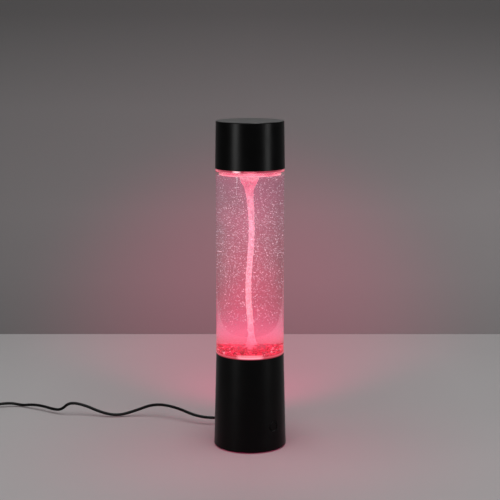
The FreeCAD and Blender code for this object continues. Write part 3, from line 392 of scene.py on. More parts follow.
def makeFloorMaterial(look):
    material, tree, shader = clearMaterial("floorAcrylic", look["tint"])
    axes = addAxes(tree, addPlace(tree))
    rim = addRamp(tree, addSpan(tree, axes["Z"], look["low"], look["high"]), look["rim"])
    # painted highlight: the rim's light is painted paler at the front
    pale = addMix(tree, addSpan(tree, axes["Y"], *look["front"]), (1.0, 1.0, 1.0), look["paintedFrontHighlight"])
    # painted reflection: a pale pink patch on the front middle of the top, the whirl's light mirrored there
    ahead = addSpan(tree, axes["Y"], *look["paintedReflectionAhead"])
    inside = addSpan(tree, addMath(tree, "ABSOLUTE", axes["X"]), *look["paintedReflectionAside"])
    paintedReflection = addMath(tree, "MULTIPLY", ahead, inside)
    top = addMix(tree, paintedReflection, addGroup(tree, speckGroup)[0], look["paintedReflectionColour"])
    onTop = addMath(tree, "GREATER_THAN", axes["Z"], look["topFrom"])
    setShader(
        tree,
        shader,
        Transmission_Weight=look["clearness"],
        Roughness=look["roughness"],
        Emission_Color=addMix(tree, onTop, addMix(tree, 1.0, rim, pale, "MULTIPLY"), top),
        Emission_Strength=look["strength"],
    )
    return material


# impeller parts: white plastic painted dark red, with the red light from below painted on it as glow, and the
# whirl's froth on the hub painted as a pale glow
impellerLook = {
    # painted shade: the white plastic's own colour is painted dark red
    "dark": (0.10, 0.015, 0.025),
    "pale": (0.16, 0.03, 0.04),
    "hub": (0.0062, 0.0042),
    "hubShare": 0.8,
    "hubColour": (1.0, 0.26, 0.36),
    "strength": 0.75,
}


def makeImpellerMaterial(look):
    material, tree, shader, _ = newMaterial("litPlastic")
    moulding = addGroup(tree, mouldingGroup)
    away = addMath(tree, "SQRT", addSquareAway(tree, addAxes(tree, addPlace(tree))))
    hub = addMath(tree, "MULTIPLY", addSpan(tree, away, *look["hub"]), look["hubShare"])
    setShader(
        tree,
        shader,
        Base_Color=addMix(tree, moulding["Shade"], look["dark"], look["pale"]),
        Roughness=0.45,
        Emission_Color=addMix(tree, hub, addGroup(tree, speckGroup)[0], look["hubColour"]),
        Emission_Strength=look["strength"],
        Normal=addBump(tree, moulding["Height"], 0.05),
    )
    return material


# plug: light that runs up the tube leaves at the plug's rim and skirt in lines,
# and a white glint stands on the front of the rim, left of the middle
plugLook = {
    "tint": (0.98, 0.96, 0.97),
    "low": 0.284,
    "high": 0.291,
    "unevenScale": 70.0,
    "least": 0.4,
    "glintAt": -0.0135,
    "glintHalf": (0.0048, 0.0015),
    "glintFront": -0.02,
    "glintAbove": 0.2884,
    "glintColour": (0.90, 0.62, 0.68),
    "strength": 1.0,
    "lines": [
        (0.02, (0.48, 0.18, 0.21)),
        (0.16, (0.45, 0.13, 0.16)),
        (0.24, (0.28, 0.02, 0.045)),
        (0.48, (0.32, 0.02, 0.045)),
        (0.54, (0.44, 0.08, 0.12)),
        (0.64, (0.34, 0.09, 0.12)),
        (0.74, (0.05, 0.0, 0.005)),
    ],
}


def makePlugMaterial(look):
    material, tree, shader = clearMaterial("plugAcrylic", look["tint"])
    place = addPlace(tree)
    axes = addAxes(tree, place)
    lines = addRamp(tree, addSpan(tree, axes["Z"], look["low"], look["high"]), look["lines"])
    uneven = addSpan(tree, addNoise(tree, place, look["unevenScale"]), 0.3, 0.7, look["least"], 1.0)
    aside = addMath(tree, "ABSOLUTE", addMath(tree, "SUBTRACT", axes["X"], look["glintAt"]))
    glint = addSpan(tree, aside, *look["glintHalf"])
    glint = addMath(tree, "MULTIPLY", glint, addMath(tree, "LESS_THAN", axes["Y"], look["glintFront"]))
    glint = addMath(tree, "MULTIPLY", glint, addMath(tree, "GREATER_THAN", axes["Z"], look["glintAbove"]))
    light = addMix(tree, glint, addMix(tree, 1.0, lines, uneven, "MULTIPLY"), look["glintColour"])
    setShader(tree, shader, Emission_Color=light, Emission_Strength=look["strength"])
    return material


# water: clear, and it scatters the pink light all through, more towards the floor and the whirl;
# its finest bubbles drift as soft clouds, and low down it swallows some of what shows through
waterLook = {
    "tint": (1.0, 0.955, 0.97),
    "index": 1.333,
    "skinGlow": 0.04,
    "cloudScale": 48.0,
    "cloud": (0.72, 1.28),
    "scatter": (9.4, 21.5),
    "low": (0.137, 0.119),
    "lowGain": 0.3,
    "soakColour": (0.6, 0.0, 0.25, 1.0),
    "lowSoak": 14.0,
    "milky": (0.245, 0.150),
    "milkySoak": 5.4,
}


def makeWaterMaterial(look):
    material, tree, shader, output = newMaterial("waterBody")
    light = addGroup(tree, glowGroup)
    setShader(
        tree,
        shader,
        Base_Color=look["tint"],
        Roughness=0.0,
        Transmission_Weight=1.0,
        IOR=look["index"],
        Emission_Color=light["Glow"],
        Emission_Strength=look["skinGlow"],
    )
    place = addPlace(tree)
    height = addAxes(tree, place)["Z"]
    low = addSpan(tree, height, *look["low"])
    milky = addSpan(tree, height, *look["milky"], 0.0, look["milkySoak"])
    cloud = addSpan(tree, addNoise(tree, place, look["cloudScale"], detail=1.0), 0.35, 0.65, *look["cloud"])
    amount = addMath(tree, "MULTIPLY", addSpan(tree, light["Column"], 0.0, 1.0, *look["scatter"]), cloud)
    amount = addMath(tree, "MULTIPLY", amount, addMath(tree, "MULTIPLY_ADD", low, look["lowGain"], 1.0))
    scatter = addNode(tree, "ShaderNodeEmission", {"Color": light["Glow"], "Strength": amount})
    density = addMath(tree, "MULTIPLY_ADD", low, look["lowSoak"], milky)
    soak = addNode(tree, "ShaderNodeVolumeAbsorption", {"Color": look["soakColour"], "Density": density})
    whole = addNode(tree, "ShaderNodeAddShader", {0: scatter.outputs[0], 1: soak.outputs[0]})
    tree.links.new(whole.outputs[0], output.inputs["Volume"])
    material.cycles.volume_step_rate = 0.25
    return material


# foam of the whirl: packed fine bubbles, bright where the light climbs
whirlLook = {
    "cells": 900.0,
    "drift": 300.0,
    "dark": (0.30, 0.10, 0.14),
    "pale": (0.40, 0.20, 0.24),
    "shade": (0.58, 1.15),
    "bump": 0.6,
    "strength": 0.98,
}


def makeFoamMaterial(look):
    material, tree, shader, _ = newMaterial("whirlFoam")
    place = addPlace(tree)
    cells = addCells(tree, place, look["cells"])["Distance"]
    lumps = addMath(tree, "MULTIPLY_ADD", cells, -0.8, addNoise(tree, place, look["drift"]))
    shade = addSpan(tree, lumps, -0.1, 0.4, *look["shade"])
    setShader(
        tree,
        shader,
        Base_Color=addMix(tree, lumps, look["dark"], look["pale"]),
        Roughness=0.35,
        Emission_Color=addMix(tree, 1.0, addGroup(tree, glowGroup)["Foam"], shade, "MULTIPLY"),
        Emission_Strength=look["strength"],
        Normal=addBump(tree, cells, look["bump"], 0.0004),
    )
    return material


# bubbles: some catch the light and some turn their dark side, and they are greyer towards the top
bubbleLook = {
    "cells": 1100.0,
    "low": 0.13,
    "high": 0.23,
    "lowColour": (0.62, 0.54, 0.59),
    "highColour": (0.61, 0.66, 0.68),
    "share": 0.85,
    "brightest": 1.15,
    "dark": (0.06, 0.03, 0.04),
    "pale": (0.60, 0.66, 0.68),
    "strength": 1.1,
}


def makeBubbleMaterial(look):
    material, tree, shader, _ = newMaterial("bubbles")
    place = addPlace(tree)
    cells = addCells(tree, place, look["cells"])["Color"]
    pick = addNode(tree, "ShaderNodeSeparateColor", {0: cells}).outputs[0]
    height = addSpan(tree, addAxes(tree, place)["Z"], look["low"], look["high"])
    own = addMix(tree, height, look["lowColour"], look["highColour"])
    light = addMix(tree, look["share"], addGroup(tree, glowGroup)["Foam"], own)
    shade = addSpan(tree, pick, 0.0, 1.0, 0.0, look["brightest"])
    setShader(
        tree,
        shader,
        Base_Color=addMix(tree, pick, look["dark"], look["pale"]),
        Roughness=0.15,
        Emission_Color=addMix(tree, 1.0, light, shade, "MULTIPLY"),
        Emission_Strength=look["strength"],
    )
    return material


# froth over the tank's foot: dark red bubbles with painted light, each glowing dark, red or pale by its place
frothLook = {
    "cells": 400.0,
    # painted shade: the bubbles' own colour is painted dark red
    "dark": (0.02, 0.0, 0.001),
    "pale": (0.10, 0.01, 0.015),
    "strength": 0.85,
    "light": [
        (0.0, (0.22, 0.0, 0.008)),
        (0.34, (0.34, 0.0, 0.018)),
        (0.46, (0.78, 0.0, 0.035)),
        (0.74, (1.0, 0.01, 0.07)),
        (0.90, (1.0, 0.05, 0.13)),
        (1.0, (1.0, 0.42, 0.52)),
    ],
}


def makeFrothMaterial(look):
    material, tree, shader, _ = newMaterial("footFroth")
    cells = addCells(tree, addPlace(tree), look["cells"])["Color"]
    pick = addNode(tree, "ShaderNodeSeparateColor", {0: cells}).outputs[0]
    setShader(
        tree,
        shader,
        Base_Color=addMix(tree, pick, look["dark"], look["pale"]),
        Roughness=0.2,
        Emission_Color=addRamp(tree, pick, look["light"]),
        Emission_Strength=look["strength"],
    )
    return material


def makeLedMaterial():
    material, tree, shader, _ = newMaterial("ledLens")
    drift = addNoise(tree, addPlace(tree), 900.0, detail=2.0)
    setShader(
        tree,
        shader,
        Base_Color=addMix(tree, drift, (0.90, 0.72, 0.75), (0.98, 0.86, 0.88)),
        Roughness=0.2,
        Emission_Color=addMix(tree, drift, (1.0, 0.16, 0.28), (1.0, 0.34, 0.46)),
        Emission_Strength=2.0,
    )
    return material


# hook-and-loop strap: short loops as coarse cells
def makeStrapMaterial():
    material, tree, shader, _ = newMaterial("loopStrap")
    place = addPlace(tree)
    loops = addCells(tree, place, 2200.0)["Distance"]
    setShader(
        tree,
        shader,
        Base_Color=addMix(tree, addNoise(tree, place, 300.0), (0.010, 0.010, 0.011), (0.028, 0.028, 0.030)),
        Roughness=0.9,
        Sheen_Weight=0.3,
        Normal=addBump(tree, loops, 0.8, 0.0003),
    )
    return material


# each plain finish: its darkest and lightest colour, its roughness and what else sets it apart
mouldedLooks = {
    "black_plastic": (
        "blackPlastic", (0.0005, 0.0005, 0.0005), (0.0010, 0.0010, 0.0011), 0.30,
        # the black plastic's upward faces get a painted sheen, lighter than its sides
        {"bump": 0.10, "grain": 2600.0, "specular": 0.085, "paintedTopSheen": (0.022, 0.022, 0.022)},
    ),
    "rubber": ("rubber", (0.010, 0.010, 0.010), (0.020, 0.020, 0.020), 0.75, {"bump": 0.15, "grain": 1800.0}),
    "white_plastic": ("whitePlastic", (0.70, 0.69, 0.66), (0.80, 0.79, 0.77), 0.42, {"bump": 0.05}),
    "green_board": (
        "greenBoard", (0.010, 0.11, 0.045), (0.018, 0.17, 0.07), 0.32, {"bump": 0.03, "mottle": 240.0}
    ),
    "white_board": (
        "whiteBoard", (0.74, 0.73, 0.72), (0.84, 0.83, 0.82), 0.30, {"bump": 0.03, "mottle": 200.0}
    ),
    "wire_jacket": ("wireJacket", (0.34, 0.015, 0.015), (0.45, 0.03, 0.03), 0.35, {"bump": 0.05}),
    "cord_jacket": (
        "cordJacket", (0.0014, 0.0014, 0.0015), (0.0030, 0.0030, 0.0031), 0.42,
        {"bump": 0.10, "grain": 1800.0, "specular": 0.16},
    ),
}
metalLooks = {
    "steel": ((0.42, 0.42, 0.43), (0.58, 0.58, 0.59), 0.30, {}),
    "nickel": ((0.58, 0.56, 0.52), (0.72, 0.70, 0.66), 0.20, {"lines": (900.0, 4000.0, 4000.0)}),
    "brass": ((0.62, 0.42, 0.16), (0.78, 0.56, 0.26), 0.25, {}),
}
finishes = {
    slot: mouldedMaterial(name, dark, light, roughness, **rest)
    for slot, (name, dark, light, roughness, rest) in mouldedLooks.items()
}
for slot, (dark, light, roughness, rest) in metalLooks.items():
    finishes[slot] = metalMaterial(slot, dark, light, roughness, **rest)
finishes["led_lens"] = makeLedMaterial()
finishes["clear_acrylic"] = makeTubeMaterial(tubeLook)
finishes["water"] = makeWaterMaterial(waterLook)
floorAcrylic = makeFloorMaterial(floorLook)
plugAcrylic = makePlugMaterial(plugLook)
whirlFoam = makeFoamMaterial(whirlLook)
bubbleSkin = makeBubbleMaterial(bubbleLook)
frothSkin = makeFrothMaterial(frothLook)
litPlastic = makeImpellerMaterial(impellerLook)
loopStrap = makeStrapMaterial()
print("finishes made:", len(bpy.data.materials))

# distances in millimetres and angles in degrees that every mesh is finished with
meshLimits = {"merge": 0.002, "sharp": 32.0, "skinMerge": 0.0005, "skinSharp": 28.0, "onRing": 0.02}


def placeObject(name, data):
    made = bpy.data.objects.new(name, data)
    scene.collection.objects.link(made)
    return made


def meshFrom(bm, name, material, sharp=None):
    # a smooth mesh, with hard edges where its faces meet at more than this angle
    mesh = bpy.data.meshes.new(name)
    bm.to_mesh(mesh)
    bm.free()
    for face in mesh.polygons:
        face.use_smooth = True
    if sharp:
        mesh.set_sharp_from_angle(angle=math.radians(sharp))
    mesh.materials.append(material)
    return mesh


def shadeEvenly(piece):
    # long walls keep their own normals next to small rounded edges
    smoothing = piece.modifiers.new("evenShading", "WEIGHTED_NORMAL")
    smoothing.keep_sharp = True


def finishPiece(bm, name, material, slot, body="lamp", stands=(), sharp=meshLimits["sharp"], even=False):
    bmesh.ops.remove_doubles(bm, verts=bm.verts, dist=meshLimits["merge"] * mm)
    bmesh.ops.recalc_face_normals(bm, faces=bm.faces)
    piece = placeObject(name, meshFrom(bm, name, material, sharp))
    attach(piece, body)
    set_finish(piece, slot)
    if stands:
        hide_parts(*stands)
    if even:
        shadeEvenly(piece)
    return piece


def spinOutline(outline, steps, closed=True):
    # the outline, radius and height in millimetres, turned round the lamp's axis
    bm = bmesh.new()
    corners = [bm.verts.new((radius * mm, 0, height * mm)) for radius, height in outline]
    following = corners[1:] + corners[:1] if closed else corners[1:]
    sides = [bm.edges.new(pair) for pair in zip(corners, following)]
    bmesh.ops.spin(
        bm, geom=corners + sides, cent=(0, 0, 0), axis=(0, 0, 1), angle=math.tau, steps=steps, use_merge=True
    )
    bmesh.ops.remove_doubles(bm, verts=bm.verts, dist=meshLimits["merge"] * mm)
    return bm


def softenRing(bm, radius, height, width, segments):
    # rounds the sharp ring at this radius and height
    def onRing(vertex):
        away = math.hypot(vertex.co.x, vertex.co.y) / mm
        return max(abs(away - radius), abs(vertex.co.z / mm - height)) < meshLimits["onRing"]

    ring = [edge for edge in bm.edges if all(onRing(vertex) for vertex in edge.verts)]
    bmesh.ops.bevel(
        bm, geom=ring, offset=width * mm, affect="EDGES", segments=segments, profile=0.5, material=-1,
        offset_type="OFFSET", clamp_overlap=True,
    )


def makeWire(name, routes, radius, roundness, steps, slot):
    # one round wire along each route of points in millimetres
    curve = bpy.data.curves.new(name, "CURVE")
    curve.dimensions = "3D"
    curve.bevel_depth = radius * mm
    curve.bevel_resolution = roundness
    curve.use_fill_caps = True
    for route in routes:
        spline = curve.splines.new("NURBS")
        spline.points.add(len(route) - 1)
        for point, place in zip(spline.points, route):
            point.co = (*(value * mm for value in place), 1.0)
        spline.order_u = 3
        spline.use_endpoint_u = True
        spline.resolution_u = steps
    curve.materials.append(finishes[slot])
    return placeObject(name, curve)


# camera, at the photograph's angle
cameraSizes = {"lens": 96.8, "sensor": 36, "place": (0, -1.3595, 0.4362), "tilt": 80.37}
camera = placeObject("camera", bpy.data.cameras.new("camera"))
camera.data.lens = cameraSizes["lens"]
camera.data.sensor_width = cameraSizes["sensor"]
camera.location = cameraSizes["place"]
camera.rotation_euler = (math.radians(cameraSizes["tilt"]), 0, 0)
scene.camera = camera

# lead: out of the strain relief, across the table, into its coil and on to the plug
leadSizes = {
    "radius": 1.6,
    "start": (0, 46.0, 9),
    "route": [
        (0, 59, 9), (-8, 67.5, 8.4), (-22, 70, 7.6), (-41, 65, 7.2), (-60, 69, 8.6), (-83, 85, 14.2),
        (-107, 97, 14.6), (-130, 97.5, 5.6), (-148, 93, 1.7), (-166, 95, 4.6), (-187, 102.5, 11.6),
        (-203, 102, 14.6), (-212, 102.5, 6), (-221, 108.5, 4.2), (-237, 119, 5.8), (-251, 128, 4.4),
        (-261, 134, 1.7), (-274, 136, 4), (-287.5, 131, 4.2), (-301.5, 129.525, 2.35),
    ],
    "coilCentre": (-318, 107.8),
    "coilInner": 12.35,
    "coilStep": 3.75,
    "coilRise": 3.7,
    "coilFoot": 2.35,
    "reversals": (2.5, 5.25, 8),
    "climb": 0.5,
    "turns": 10.25,
    "pointsPerTurn": 16,
    "tail": [(-338.79, 92.6, 13.45), (-338.79, 78.6, 4), (-338.79, 64.6, 4), (-338.79, 58, 4)],
    "roundness": 4,
    "steps": 5,
}


def coilPlace(sizes, turns):
    # the coil winds in, out, in and out again, one layer higher each time
    first, second, third = sizes["reversals"]
    inner, step = sizes["coilInner"], sizes["coilStep"]
    if turns <= first:
        radius = inner + step * (first - turns)
    elif turns <= second:
        radius = inner + step * (turns - first)
    elif turns <= third:
        radius = inner + step * (2 * second - first - turns)
    else:
        radius = inner + step * (turns - third + 2 * second - first - third)
    height = sizes["coilFoot"]
    for reversal in sizes["reversals"]:
        share = min(max((turns - reversal) / sizes["climb"] + 0.5, 0), 1)
        height += sizes["coilRise"] * share * share * (3 - 2 * share)
    angle = math.radians(90 + 360 * turns)
    radius /= math.cos(math.pi / sizes["pointsPerTurn"])  # the spline runs inside its points
    x, y = sizes["coilCentre"]
    return (x + radius * math.cos(angle), y + radius * math.sin(angle), height)


def makeLead(sizes):
    places = [sizes["start"], *sizes["route"]]
    count = round(sizes["turns"] * sizes["pointsPerTurn"])
    places += [coilPlace(sizes, index / sizes["pointsPerTurn"]) for index in range(1, count + 1)]
    places += sizes["tail"]
    piece = makeWire("lead", [places], sizes["radius"], sizes["roundness"], sizes["steps"], "cord_jacket")
    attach(piece, "lamp")
    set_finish(piece, "cord_jacket")
    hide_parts("cord", "cord_coil", "cord_tail")
    return piece


lead = makeLead(leadSizes)
print("lead laid")

# strain relief: a tapered sleeve with ring grooves, flanged inside the housing's wall
reliefSizes = {
    "foot": 32.09,
    "height": 9,
    "bore": 1.65,
    "flange": 5,
    "flangeThick": 2,
    "neck": 3.4,
    "neckTop": 5.25,
    "wide": 3.8,
    "tip": 2.4,
    "tipAt": 16.85,
    "ribs": 6,
    "firstRib": 1.0,
    "plainEnds": 1.2,
    "groove": [(0.0, 0.0), (0.18, 0.55), (0.55, 0.55), (0.73, 0.0)],
    "sides": 48,
}


def makeRelief(sizes):
    neckTop, tipAt = sizes["neckTop"], sizes["tipAt"]
    outline = [
        (sizes["bore"], 0), (sizes["flange"], 0), (sizes["flange"], sizes["flangeThick"]),
        (sizes["neck"], sizes["flangeThick"]), (sizes["neck"], neckTop), (sizes["wide"], neckTop),
    ]
    pitch = (tipAt - neckTop - sizes["plainEnds"]) / sizes["ribs"]
    for rib in range(sizes["ribs"]):
        start = neckTop + sizes["firstRib"] + rib * pitch
        for share, cut in sizes["groove"]:
            along = start + share * pitch
            taper = (along - neckTop) / (tipAt - neckTop)
            radius = sizes["wide"] + (sizes["tip"] - sizes["wide"]) * taper - cut * (1 - 0.5 * taper)
            outline.append((radius, along))
    outline += [(sizes["tip"], tipAt), (sizes["bore"], tipAt)]
    bm = spinOutline(outline, sizes["sides"])
    placed = Matrix.Translation((0, sizes["foot"] * mm, sizes["height"] * mm))
    bmesh.ops.transform(bm, matrix=placed @ Matrix.Rotation(math.radians(-90), 4, "X"), verts=bm.verts)
    return finishPiece(
        bm, "strainRelief", finishes["cord_jacket"], "cord_jacket", stands=("strain_relief",), sharp=40
    )


relief = makeRelief(reliefSizes)

# cable tie: a strap closed round all the turns
tieSizes = {
    "x": -318,
    "y": 90.68,
    "z": 7.9,
    "wide": 15.4,
    "tall": 15.1,
    "width": 8,
    "thick": 0.6,
    "squareness": 0.34,
    "sides": 72,
    "rows": 4,
}


def makeTie(sizes):
    bm = bmesh.new()
    bmesh.ops.create_circle(bm, segments=sizes["sides"], radius=1.0)
    firstEdge, pitch = sizes["x"] - sizes["width"] / 2, sizes["width"] / sizes["rows"]
    for vertex in bm.verts:
        angle = math.atan2(vertex.co.y, vertex.co.x)
        across, up = math.cos(angle), math.sin(angle)
        across = math.copysign(abs(across) ** sizes["squareness"], across) * sizes["wide"] / 2
        up = math.copysign(abs(up) ** sizes["squareness"], up) * sizes["tall"] / 2
        vertex.co = (firstEdge * mm, (sizes["y"] + across) * mm, (sizes["z"] + up) * mm)
    rim = bm.edges[:]
    for _ in range(sizes["rows"]):
        moved = bmesh.ops.extrude_edge_only(bm, edges=rim)["geom"]
        corners = [part for part in moved if isinstance(part, bmesh.types.BMVert)]
        rim = [part for part in moved if isinstance(part, bmesh.types.BMEdge)]
        bmesh.ops.translate(bm, verts=corners, vec=(pitch * mm, 0, 0))
    bmesh.ops.recalc_face_normals(bm, faces=bm.faces)
    bmesh.ops.solidify(bm, geom=bm.faces[:], thickness=sizes["thick"] * mm)
    return finishPiece(bm, "cordTie", loopStrap, "cord_jacket", stands=("cord_tie",), sharp=50)


tie = makeTie(tieSizes)

# wires inside the base: the lead's inner run, the motor's pair and the light ring's three
ringRoute = [
    (13.38, -15.39, 85.9), (13.38, -15.39, 72.7), (16.66, -19.16, 59.45), (13.38, -15.39, 46.2),
    (13.38, -15.39, 33),
]
wireSizes = {
    "innerLead": {
        "node": "inner_lead",
        "slot": "cord_jacket",
        "radius": 1.6,
        "routes": [[(0, 46.2, 9), (0, 31, 9), (0, 16, 9), (2.03, -11.48, 11), (10.82, -21.59, 11)]],
    },
    "motorWires": {
        "node": "motor_leads",
        "slot": "wire_jacket",
        "radius": 0.65,
        "routes": [
            [(-4.31, -4.18, 41.35), (4.2, -14, 41.35), (8.85, -19.33, 41.35), (8.85, -19.33, 33)],
            [(4.74, 3.69, 41.35), (13.2, -6.1, 41.35), (17.91, -11.45, 41.35), (17.91, -11.45, 33)],
        ],
    },
    "ringWires": {
        "node": "led_leads",
        "slot": "wire_jacket",
        "radius": 0.65,
        "routes": [[(x + 2.264 * step, y + 1.968 * step, z) for x, y, z in ringRoute] for step in (-1, 0, 1)],
    },
}
for name, sizes in wireSizes.items():
    piece = makeWire(name, sizes["routes"], sizes["radius"], 3, 8, sizes["slot"])
    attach(piece, "lamp")
    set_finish(piece, sizes["slot"])
    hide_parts(sizes["node"])
print("wires laid inside the base")


def smoothCopy(nodeName, body, material, slot):
    # a merged copy of a CAD node, so that its round faces shade smoothly
    bm = bmesh.new()
    bm.from_mesh(nodes[nodeName].data)
    bmesh.ops.remove_doubles(bm, verts=bm.verts, dist=meshLimits["skinMerge"] * mm)
    name = nodeName + "Skin"
    piece = placeObject(name, meshFrom(bm, name, material, meshLimits["skinSharp"]))
    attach(piece, body)
    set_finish(piece, slot)
    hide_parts(nodeName)
    shadeEvenly(piece)
    return piece


# every other part keeps its CAD shape, with smooth shading and its finish
slotOf = {row["node"]: row["material_slot"] for row in frame["record"]["subparts"]}
bodyOf = {name: body for body, names in frame["record"]["behaviour"]["bodies"].items() for name in names}
handMade = {
    "cord", "cord_coil", "cord_tail", "cord_tie", "strain_relief", "cap", "tube", "tank_floor", "tube_plug",
    "water", "inner_lead", "motor_leads", "led_leads",
}
for nodeName in nodes:
    if nodeName not in handMade:
        slot = slotOf[nodeName]
        lit = nodeName.startswith("impeller") and slot != "nickel"
        smoothCopy(nodeName, bodyOf[nodeName], litPlastic if lit else finishes[slot], slot)

# cap: a moulded cup that closes the top
capSizes = {
    "foot": 290,
    "height": 48.25,
    "radius": 35.5,
    "topRadius": 34.7,
    "wall": 2.4,
    "innerTopRadius": 32.34,
    "top": 2.5,
    "edge": 1.4,
    "footEdge": 0.3,
    "steps": 192,
}


def makeCap(sizes):
    foot, top = sizes["foot"], sizes["foot"] + sizes["height"]
    outline = [
        (0, top), (sizes["topRadius"], top), (sizes["radius"], foot), (sizes["radius"] - sizes["wall"], foot),
        (sizes["innerTopRadius"], top - sizes["top"]), (0, top - sizes["top"]),
    ]
    bm = spinOutline(outline, sizes["steps"], closed=False)
    softenRing(bm, sizes["topRadius"], top, sizes["edge"], 6)
    softenRing(bm, sizes["radius"], foot, sizes["footEdge"], 3)
    return finishPiece(bm, "capShell", finishes["black_plastic"], "black_plastic", "cap", ("cap",), even=True)


makeCap(capSizes)

# clear tank: tube, glued floor and glued plug, each an outline turned round, with its rounded rings
tankSizes = {"steps": 192, "edge": 0.25}
tankParts = {
    "clearTube": {
        "node": "tube",
        "material": finishes["clear_acrylic"],
        "closed": True,
        "outline": [(32, 101.03), (35, 101.03), (35, 287.47), (32, 287.47)],
        "rounded": [(35, 101.03), (35, 287.47)],
    },
    "tankFloor": {
        "node": "tank_floor",
        "material": floorAcrylic,
        "closed": False,
        "outline": [
            (0, 97), (25, 97), (25, 90.55), (31.8, 90.55), (31.8, 98.03), (35, 98.03), (35, 101), (1.55, 101),
            (1.55, 98.4), (0, 98.4),
        ],
        "rounded": [(35, 101), (35, 98.03)],
    },
    "tubePlug": {
        "node": "tube_plug",
        "material": plugAcrylic,
        "closed": True,
        "outline": [
            (28.8, 284.3), (31.8, 284.3), (31.8, 287.5), (35, 287.5), (35, 289.97), (32.5, 289.97),
            (32.5, 293.85), (30.5, 293.85), (30.5, 296.15), (32.5, 296.15), (32.5, 301), (29.5, 301),
            (29.5, 291), (8, 291), (8, 296.5), (4.5, 296.5), (4.5, 287.5), (28.8, 287.5),
        ],
        "rounded": [(35, 287.5), (35, 289.97), (31.8, 284.3)],
    },
}


def makeTankPart(name, sizes):
    bm = spinOutline(sizes["outline"], tankSizes["steps"], sizes["closed"])
    for radius, height in sizes["rounded"]:
        softenRing(bm, radius, height, tankSizes["edge"], 2)
    return finishPiece(bm, name, sizes["material"], "clear_acrylic", stands=(sizes["node"],), even=True)


tank = [makeTankPart(name, sizes) for name, sizes in tankParts.items()]
print("tank made")

# water with the open core of its whirl, and the foam that wraps the core
waterSizes = {
    "radius": 32.03,
    "foot": 100.97,
    "top": 284,
    "coreFoot": 109.5,
    "coreRadius": 2,
    "mouth": 8.5,
    "fall": 9,
    "sway": 1.3,
    "pitch": 124,
    "crest": 229,
    "tip": 0.8,
    "sides": 160,
    "rings": 90,
    "ringBias": 1.4,
}
foamSizes = {
    "top": 283.7,
    "foot": 108.6,
    "stand": 0.12,
    "thick": 0.12,
    "rough": 0.62,
    "lumpScale": 450,
    "deepest": -0.15,
    "wind": 0.11,
    "rings": 240,
    "sides": 28,
    "funnel": 5.8,
    "funnelFall": 12.5,
    "flare": 2.6,
    "flareFall": 4.5,
}


def coreCentre(sizes, height):
    phase = 2 * math.pi * (height - sizes["crest"]) / sizes["pitch"]
    spread = math.exp((height - sizes["top"]) / sizes["fall"])
    sway = sizes["sway"] * max(1 - spread, 0)
    return Vector((sway * math.cos(phase), sway * math.sin(phase), height)) * mm


def coreRadius(sizes, height):
    spread = math.exp((height - sizes["top"]) / sizes["fall"])
    return sizes["coreRadius"] + (sizes["mouth"] - sizes["coreRadius"]) * spread


def extrudeRing(bm, rim, centre, radius, lastCentre, lastRadius):
    # the rim's next ring, moved and scaled
    moved = bmesh.ops.extrude_edge_only(bm, edges=rim)["geom"]
    corners = [part for part in moved if isinstance(part, bmesh.types.BMVert)]
    edges = [part for part in moved if isinstance(part, bmesh.types.BMEdge)]
    bmesh.ops.scale(bm, verts=corners, vec=(radius / lastRadius,) * 3, space=Matrix.Translation(-lastCentre))
    bmesh.ops.translate(bm, verts=corners, vec=centre - lastCentre)
    return corners, edges


def makeWater(sizes):
    bm = bmesh.new()
    start = bmesh.ops.create_circle(bm, segments=sizes["sides"], radius=sizes["radius"] * mm)["verts"]
    bmesh.ops.translate(bm, verts=start, vec=(0, 0, sizes["foot"] * mm))
    rim = bm.edges[:]
    bmesh.ops.contextual_create(bm, geom=rim)
    centre, radius = Vector((0, 0, sizes["foot"] * mm)), sizes["radius"]
    surface = Vector((0, 0, sizes["top"] * mm))
    stops = [(surface, sizes["radius"]), (surface, (sizes["radius"] + sizes["mouth"]) / 2)]
    for index in range(sizes["rings"] + 1):
        share = (index / sizes["rings"]) ** sizes["ringBias"]
        height = sizes["top"] - (sizes["top"] - sizes["coreFoot"]) * share
        stops.append((coreCentre(sizes, height), coreRadius(sizes, height)))
    for nextCentre, nextRadius in stops:
        corners, rim = extrudeRing(bm, rim, nextCentre, nextRadius, centre, radius)
        centre, radius = nextCentre, nextRadius
    bmesh.ops.pointmerge(bm, verts=corners, merge_co=centre - Vector((0, 0, sizes["tip"] * mm)))
    return finishPiece(bm, "waterBody", finishes["water"], "water", stands=("water",), sharp=40)


def foamRadius(sizes, water, height):
    # the froth follows the core, fills the funnel out and spreads over the impeller
    depth = (water["top"] - height) / sizes["funnelFall"]
    funnel = water["coreRadius"] + sizes["funnel"] * math.exp(-depth * depth)
    flare = sizes["flare"] * math.exp((sizes["foot"] - height) / sizes["flareFall"])
    return max(coreRadius(water, height) + sizes["stand"], funnel) + flare


